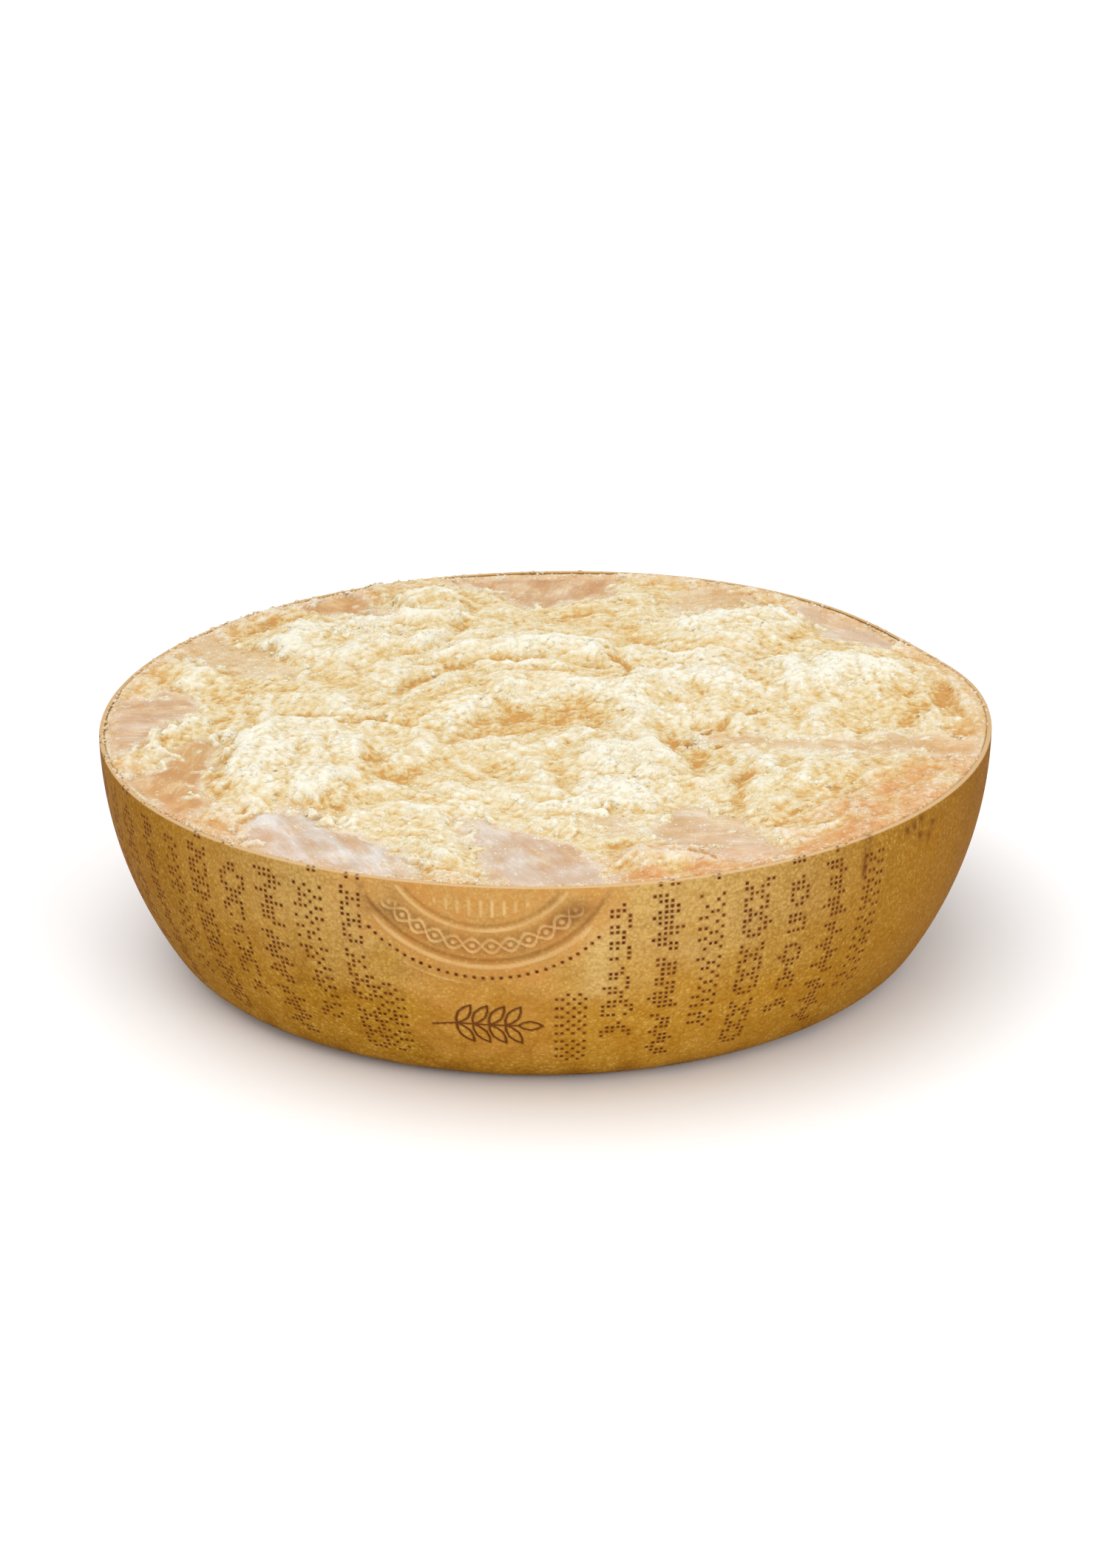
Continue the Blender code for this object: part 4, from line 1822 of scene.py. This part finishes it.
    def press_patches(self) -> None:
        """Raises the medallion's ridges and cuts the sprig's strokes."""
        mesh = self.object.data
        points = Bench.read(mesh)
        across, down = self.seal_place(points)
        radius = np.hypot(points[:, 0], points[:, 1])
        skin = (radius > 120) & (np.abs(across) < 64)
        skin &= (points[:, 2] > 1.0) & (points[:, 2] < SHAPE.side - 1.5)
        skin &= radius > np.array([SHAPE.at(min(run, SHAPE.run))[0] for run in down]) - 1.5
        rise = np.where(skin, self.seal_rise(across, down) - self.sprig_depth(across, down), 0.0)
        points[:, :2] += points[:, :2] / radius.clip(1)[:, None] * rise[:, None]
        Bench.write(mesh, points)

    def seal_rise(self, across: np.ndarray, down: np.ndarray) -> np.ndarray:
        """Height of the medallion's rims, the beaded twist between them, and the reeds at its middle.

        Args:
            across: Lengths along the skin from the medallion's middle.
            down: Lengths down the side.

        Returns:
            The heights, in millimetres.
        """
        reach = np.hypot(across, down + self.seal_above)
        spoke = np.degrees(np.arctan2(across, down + self.seal_above))
        rise = np.zeros(len(across))
        for ring, half, height in self.seal_rims:
            rise += height * bell(reach - ring, half)
        outer = bell(spoke + 17, 15, 4)
        rise += 0.4 * outer * bell(reach - 76.8, 0.8)
        weave = self.twist_swing * np.sin(np.radians(spoke) * 180.0 / self.twist_step)
        strands = [bell(reach - self.twist - way * weave, 0.8) for way in (-1, 1)]
        off_eye = np.radians(spoke % self.twist_step - self.twist_step / 2) * reach
        eye = np.hypot(off_eye, reach - self.twist)
        rise += 0.95 * np.maximum(np.maximum(*strands), 1 - ease(0.7, 1.7, eye))
        reed = np.abs((across + 2.6) % 5.2 - 2.6)
        tall = ease(6.0, 7.5, down) * (1 - ease(39.5, 41.0, reach)) * (np.abs(across) < 28)
        rise += 0.75 * bell(reed, 0.8) * tall
        rise *= np.where(reach > 50.0, ease(7.0, 15.0, down), ease(1.5, 3.5, down)) * ease(55.0, 53.0, down)
        return rise * ease(self.seal_half, self.seal_half - 8.0, np.abs(across))

    def sprig_depth(self, across: np.ndarray, down: np.ndarray) -> np.ndarray:
        """Depth of the incised ear of grain below the medallion.

        Args:
            across: Lengths along the skin from the medallion's middle.
            down: Lengths down the side.

        Returns:
            The depths, in millimetres.
        """
        depth = np.zeros(len(across))
        near = np.flatnonzero((np.abs(across) < 30) & (down > 58) & (down < 96))
        for start, end in self.sprig_strokes():
            ax, ay, bx, by = *start, *end
            dx, dy = bx - ax, by - ay
            px, py = across[near] - ax, down[near] - ay
            share = np.clip((px * dx + py * dy) / (dx * dx + dy * dy), 0.0, 1.0)
            away = np.hypot(px - share * dx, py - share * dy)
            depth[near] = np.maximum(depth[near], 0.9 * (1 - ease(0.3, 1.15, away)))
        return depth

    @staticmethod
    def sprig_strokes() -> list[tuple[Point, Point]]:
        """The strokes of the ear of grain: a stem, paired kernels along it and a last one at its tip.

        Returns:
            The two ends of each stroke.
        """
        middle = 77.5
        kernels = [((-15.0 + 8.0 * step, 0.0), 58.0 * way, 14.5) for step in range(4) for way in (-1, 1)]
        kernels.append(((15.0, 0.0), 0.0, 12.0))
        strokes = [((-27.0, middle + 2.0), (-16.0, middle)), ((-16.0, middle), (15.0, middle))]
        for (foot, _), lean, length in kernels:
            turn = math.radians(lean)
            edge = []
            for share, bulge in ((0.0, 0.0), (0.22, 1.9), (0.5, 2.9), (0.78, 1.9), (1.0, 0.0)):
                edge.append((share * length, bulge))
            outline = edge + [(far, -bulge) for far, bulge in reversed(edge[1:-1])] + edge[:1]
            along, aside = math.cos(turn), math.sin(turn)
            points = [(foot + a * along - b * aside, middle + a * aside + b * along) for a, b in outline]
            strokes += zip(points, points[1:])
        return strokes

    def prick_columns(self) -> None:
        """Sinks a round hole into every pricked cell of the columns."""
        bpy.ops.object.mode_set(mode="EDIT")
        bpy.ops.mesh.select_mode(type="FACE")
        bpy.ops.mesh.select_all(action="DESELECT")
        cage = bmesh.from_edit_mesh(self.object.data)
        for face in cage.faces:
            face.select = len(face.verts) == 4 and self.pricked(*self.cell_of(face.calc_center_median()))
        bmesh.update_edit_mesh(self.object.data)
        bpy.ops.mesh.inset(thickness=0.55 * MM, use_individual=True)
        bpy.ops.mesh.subdivide(number_cuts=1)
        cage = bmesh.from_edit_mesh(self.object.data)
        middles = [vert for vert in cage.verts if len(vert.link_faces) == 4]
        middles = [vert for vert in middles if all(face.select for face in vert.link_faces)]
        middles.sort(key=lambda vert: tuple(round(part, 6) for part in vert.co))
        rng = np.random.default_rng(5)
        for middle in middles:
            self.sink_hole(middle, middle.co.copy(), rng)
        bmesh.update_edit_mesh(self.object.data)
        bpy.ops.object.mode_set(mode="OBJECT")
        LOG.info("%s: %d holes in its columns", self.name, len(middles))

    def sink_hole(self, middle: bmesh.types.BMVert, centre: Vector, rng: np.random.Generator) -> None:
        """Rounds the four faces about a point to a ring and pushes the point in.

        Args:
            middle: The point at the hole's middle.
            centre: Where the hole goes on the skin.
            rng: Draws the hole's small unevenness.
        """
        outward = Vector((centre.x, centre.y, 0.0)).normalized()
        slope = math.asin(min(0.9, max(0.0, (SHAPE.side - centre.z / MM) / SHAPE.arc)))
        outward = (outward * math.cos(slope) - Vector((0, 0, 1)) * math.sin(slope)).normalized()
        sideways = Vector((0, 0, 1)).cross(outward).normalized()
        upward = outward.cross(sideways)
        reach = self.hole * rng.uniform(0.88, 1.1) * MM
        centre = centre + (sideways * rng.normal(0, 0.1) + upward * rng.normal(0, 0.1)) * MM
        ring = {vert for face in middle.link_faces for vert in face.verts} - {middle}
        for vert in ring:
            away = vert.co - centre
            turn = math.atan2(away.dot(upward), away.dot(sideways))
            vert.co = centre + (sideways * math.cos(turn) + upward * math.sin(turn)) * reach
        middle.co = centre - outward * self.hole_depth * rng.uniform(0.8, 1.1) * MM
        for face in middle.link_faces:
            face.material_index = 1

    def prick_arc(self) -> None:
        """Sinks the dotted arc below the medallion, each hole from the nearest point of the fine patch."""
        cage = bmesh.new()
        cage.from_mesh(self.object.data)
        reach = math.degrees(math.asin(self.seal_half / self.seal_dots))
        count = round(math.radians(2 * reach) * self.seal_dots / 4.2)
        rng = np.random.default_rng(9)
        fine = [v for v in cage.verts if len(v.link_faces) == 4 and self.in_arc_band(v.co)]
        taken = set()
        for step in range(count + 1):
            spoke = math.radians(-reach + 2 * reach * step / count)
            across = self.seal_dots * math.sin(spoke)
            turn = math.radians(self.seal_at) + across / self.seal_skin
            radius, height = SHAPE.at(self.seal_dots * math.cos(spoke) - self.seal_above)
            centre = Vector((radius * math.sin(turn), -radius * math.cos(turn), height)) * MM
            middle = min(fine, key=lambda v: (v.co - centre).length_squared)
            if middle.index not in taken:
                taken.add(middle.index)
                self.sink_hole(middle, centre, rng)
        cage.to_mesh(self.object.data)
        cage.free()
        LOG.info("%s: %d holes in its arc", self.name, len(taken))

    def in_arc_band(self, spot: Vector) -> bool:
        """Whether a point lies near the dotted arc.

        Args:
            spot: The point, in metres.

        Returns:
            True where it is near.
        """
        across, down = self.seal_place(np.array([spot[:]]) / MM)
        reach = math.hypot(float(across[0]), float(down[0]) + self.seal_above)
        return abs(reach - self.seal_dots) < 2.5 and abs(float(across[0])) < 60.0

    def store_tones(self) -> None:
        """Stores what the rind's finish reads: stains, the cut lip, dark stains with painted shade in the
        grooves and strokes, the painted highlight of the relief, painted light on the upper front and
        painted shade at the foot and flanks.
        """
        mesh = self.object.data
        points = Bench.read(mesh)
        across, down = self.seal_place(points)
        radius = np.hypot(points[:, 0], points[:, 1])
        reach = np.hypot(across, down + self.seal_above)
        bearing = np.degrees(np.arctan2(points[:, 0], -points[:, 1]))
        blotch = sampled(noise.noise, across, down, 16.0, 4.0)
        seal = 1 - ease(64.0, 82.0, reach + 10.0 * blotch)
        below = (1 - ease(26.0, 44.0, np.abs(across) + 9.0 * blotch)) * (1 - ease(92.0, 112.0, down))
        stain = np.clip(0.85 * seal + 0.5 * below, 0.0, 1.0)
        corner = bell(across + 46, 9) * bell(down - 13, 9) + bell(across - 42, 10) * bell(down - 12, 6)
        corner += 0.6 * bell(across - 29, 8) * bell(down - 18, 4)
        # Painted shade: dark lines in the grooves beside the medallion's rims and in the low places of its
        # twist.
        inner = bell(reach - self.seal_rims[1][0], 1.2) + 0.6 * bell(reach - self.seal_rims[3][0], 0.9)
        dark_stain_and_shade = 0.5 * corner * ease(-0.3, 0.3, blotch)
        dark_stain_and_shade += 0.42 * inner * ease(1.5, 4.0, down) * (np.abs(across) < 60)
        rise = self.seal_rise(across, down)
        low = (1 - ease(0.05, 0.45, rise)) * ease(7.0, 15.0, down)
        dark_stain_and_shade += 0.3 * low * bell(reach - self.twist, 5.6, 6) * ease(self.seal_half, 44.0, np.abs(across))
        # Painted shade inside the sprig's incised strokes.
        dark_stain_and_shade = np.maximum(dark_stain_and_shade, 0.85 * ease(0.25, 0.85, self.sprig_depth(across, down)))
        dark_stain_and_shade = np.clip(np.maximum(dark_stain_and_shade, self.halo(mesh)), 0.0, 1.0)
        # Painted highlight on the medallion's raised parts.
        raised = 0.6 * ease(0.1, 0.6, rise) * (0.65 + 0.6 * np.clip(blotch, -0.5, 0.5))
        dark_stain_and_shade = np.maximum(dark_stain_and_shade, self.scars(bearing, down))
        below_rim = SHAPE.side - points[:, 2]
        lip = np.where((below_rim < 0.5) & (radius > 217.7), 0.9, 0.0)
        groove_line = np.where((radius > 216.9) & (radius < 217.7) & (below_rim < 4.5), 1.0, 0.0)
        # Painted shade: darker towards the foot and on both flanks.
        painted_shade = 0.9 * ease(SHAPE.run - 28.0, SHAPE.run - 2.0, down + 12.0 * blotch)
        painted_shade += bell(bearing + 100, 50) + 0.95 * bell(bearing - 95, 56)
        Bench.paint(mesh, "stain", np.maximum(stain, groove_line))
        Bench.paint(mesh, "dark_stain_and_shade", np.maximum(dark_stain_and_shade, 0.3 * groove_line))
        Bench.paint(mesh, "raised", raised)
        # Painted light: paler over the upper front, with a narrow painted highlight streak just right of the
        # front.
        painted_light = ease(78.0, 12.0, down + 16.0 * blotch) * bell(bearing + 2, 40, 4)
        painted_light += 0.6 * bell(bearing - 6, 2.4) * ease(10.0, 22.0, down) * ease(66.0, 50.0, down)
        Bench.paint(mesh, "painted_light", 0.8 * painted_light)
        Bench.paint(mesh, "lip", lip)
        Bench.paint(mesh, "painted_shade", np.clip(painted_shade, 0.0, 1.0))

    @staticmethod
    def scars(bearing: np.ndarray, down: np.ndarray) -> np.ndarray:
        """Dark spots and a scratch on the bare part at the right, with a like few at the back.

        Args:
            bearing: Directions, in degrees.
            down: Lengths down the side.

        Returns:
            The darkness at each point.
        """
        dark = np.zeros(len(bearing))
        right_spots = ((50, 6), (51.5, 5), (53, 12), (56, 9), (53, 3.5), (55, 15))
        for at, run in (*right_spots, (152, 9), (154, 14), (157, 7)):
            away = np.hypot(np.radians(bearing - at) * SHAPE.rim, down - run)
            dark = np.maximum(dark, 0.9 * bell(away, 2.1))
        line = np.radians(bearing - 42.6 + 0.03 * down) * SHAPE.rim
        return np.maximum(dark, 0.8 * bell(line, 1.3) * ease(25.0, 18.0, down))

    @staticmethod
    def halo(mesh: bpy.types.Mesh) -> np.ndarray:
        """A faint dark ring on the points that edge a hole.

        Args:
            mesh: The finished shell.

        Returns:
            The burn at each point.
        """
        burn = np.zeros(len(mesh.vertices))
        for face in mesh.polygons:
            if face.material_index == 1:
                burn[list(face.vertices)] = 0.55
        return burn

    def unround(self) -> None:
        """Gives the shell the wheel's lobes and the rim's swells."""
        mesh = self.object.data
        points = Bench.read(mesh)
        angle = np.arctan2(points[:, 1], points[:, 0])
        radius = np.hypot(points[:, 0], points[:, 1])
        grown = (radius + SHAPE.lobe(angle) * ease(60.0, 150.0, radius)) / radius.clip(0.001)
        points[:, :2] *= grown[:, None]
        upper = np.clip(points[:, 2] / SHAPE.side, 0.0, 1.0) ** 3
        points[:, 2] += SHAPE.swell(angle) * upper * ease(100.0, 190.0, radius)
        Bench.write(mesh, points)


# The studio


@dataclass(frozen=True)
class Skylight:
    """A very soft overhead light, even over the whole floor: where it comes from, strength and spread."""

    name: str
    towards: tuple[float, float, float]
    strength: float
    spread: float

    def build(self) -> None:
        """Adds the light."""
        lamp = bpy.data.lights.new(self.name, "SUN")
        lamp.energy = self.strength
        lamp.angle = math.radians(self.spread)
        stand = bpy.data.objects.new(self.name, lamp)
        stand.rotation_euler = Vector(self.towards).to_track_quat("Z", "Y").to_euler()
        bpy.context.scene.collection.objects.link(stand)


@dataclass(frozen=True)
class Softbox:
    """A square area light: where it stands, how wide it is and its power in watts."""

    name: str
    at: tuple[float, float, float]
    width: float
    power: float

    def build(self, aim: Vector) -> None:
        """Adds the light, turned to the aim. Places are in metres here.

        Args:
            aim: The place that the light points at.
        """
        lamp = bpy.data.lights.new(self.name, "AREA")
        lamp.shape = "SQUARE"
        lamp.size = self.width
        lamp.energy = self.power
        stand = bpy.data.objects.new(self.name, lamp)
        stand.location = self.at
        stand.rotation_euler = (aim - Vector(self.at)).to_track_quat("-Z", "Y").to_euler()
        bpy.context.scene.collection.objects.link(stand)


@dataclass(frozen=True)
class Studio:
    """The pale floor, soft light and the camera that stood for the photograph."""

    distance: float = 2.0
    elevation: float = 20.68
    roll: float = -0.30
    pixels_per_mm: float = 2.7232
    image: tuple[int, int] = (1500, 2121)
    middle: Point = (739.0, 965.2)
    floor_width: float = 30.0
    sky: float = 0.87
    overhead: Skylight = Skylight("overhead", (-0.3, 0.12, 1.0), 1.1, 60.0)
    lights: tuple[Softbox, ...] = (
        Softbox("front_right", (1.2, -1.75, 0.8), 1.0, 13.0),
        Softbox("front_left", (-1.5, -1.5, 0.8), 1.0, 2.5),
    )

    def build(self) -> None:
        """Sets up floor, light and camera."""
        self.lay_floor()
        self.light_room()
        self.place_camera()
        bpy.context.scene.view_settings.view_transform = "Standard"

    def lay_floor(self) -> None:
        """A wide pale floor."""
        Bench.clear_selection()
        bpy.ops.mesh.primitive_plane_add(size=self.floor_width)
        floor = Bench.named("floor")
        material, wire, shader = blank_material("pale_floor")
        place = wire.node("ShaderNodeTexCoord").outputs["Object"]
        cloud = wire.noise(place, 3.0)
        stops = ((0.3, (0.96, 0.96, 0.96, 1.0)), (0.7, (0.98, 0.98, 0.98, 1.0)))
        wire.feed(shader.inputs["Base Color"], wire.ramp(cloud, stops))
        shader.inputs["Roughness"].default_value = 0.7
        floor.data.materials.append(material)

    def light_room(self) -> None:
        """Even white light all round, and the softboxes."""
        world = bpy.data.worlds.new("studio")
        world.use_nodes = True
        backdrop = world.node_tree.nodes["Background"]
        backdrop.inputs["Color"].default_value = (1.0, 1.0, 1.0, 1.0)
        backdrop.inputs["Strength"].default_value = self.sky
        bpy.context.scene.world = world
        self.overhead.build()
        for light in self.lights:
            light.build(Vector((0.0, 0.0, 0.08)))

    def place_camera(self) -> None:
        """The camera at the angle and distance that the photograph's outline was fitted with."""
        lift = math.radians(self.elevation)
        rim = Vector((0.0, 0.0, SHAPE.side * MM))
        place = rim + Vector((0.0, -math.cos(lift), math.sin(lift))) * self.distance
        up = Vector((0.0, math.sin(lift), math.cos(lift)))
        across = (self.image[0] / 2 - self.middle[0]) / self.pixels_per_mm * MM
        below = (self.image[1] / 2 - self.middle[1]) / self.pixels_per_mm * MM
        aim = rim + Vector((across, 0.0, 0.0)) - up * below
        eye = bpy.data.cameras.new("camera")
        eye.sensor_width = 36.0
        eye.lens = self.pixels_per_mm / MM * self.distance / self.image[1] * 36.0
        camera = bpy.data.objects.new("camera", eye)
        camera.location = place
        camera.rotation_mode = "QUATERNION"
        turn = (aim - place).to_track_quat("-Z", "Y")
        camera.rotation_quaternion = turn @ Quaternion((0.0, 0.0, 1.0), math.radians(self.roll))
        bpy.context.scene.collection.objects.link(camera)
        bpy.context.scene.camera = camera


def main() -> None:
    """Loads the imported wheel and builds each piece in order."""
    logging.basicConfig(level=logging.INFO, format="%(name)s: %(message)s")
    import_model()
    effects = Effects()
    paste = BrokenPaste().build(PasteFinish().make(effects))
    crumbs = PasteFinish(name="cheese_crumbs", bleed=0.0).make(effects)
    BreakGrains("grains", 9000, (0.5, 1.6), (0.6, 0.95), 0.45, 3).build(paste, crumbs)
    BreakGrains("flakes", 4600, (0.8, 2.0), (0.35, 0.6), 0.3, 4, spill=6.0).build(paste, crumbs)
    Rind().build(RindFinish().make(effects), PrickFinish().make(effects))
    Studio().build()


if __name__ == "__main__":
    main()
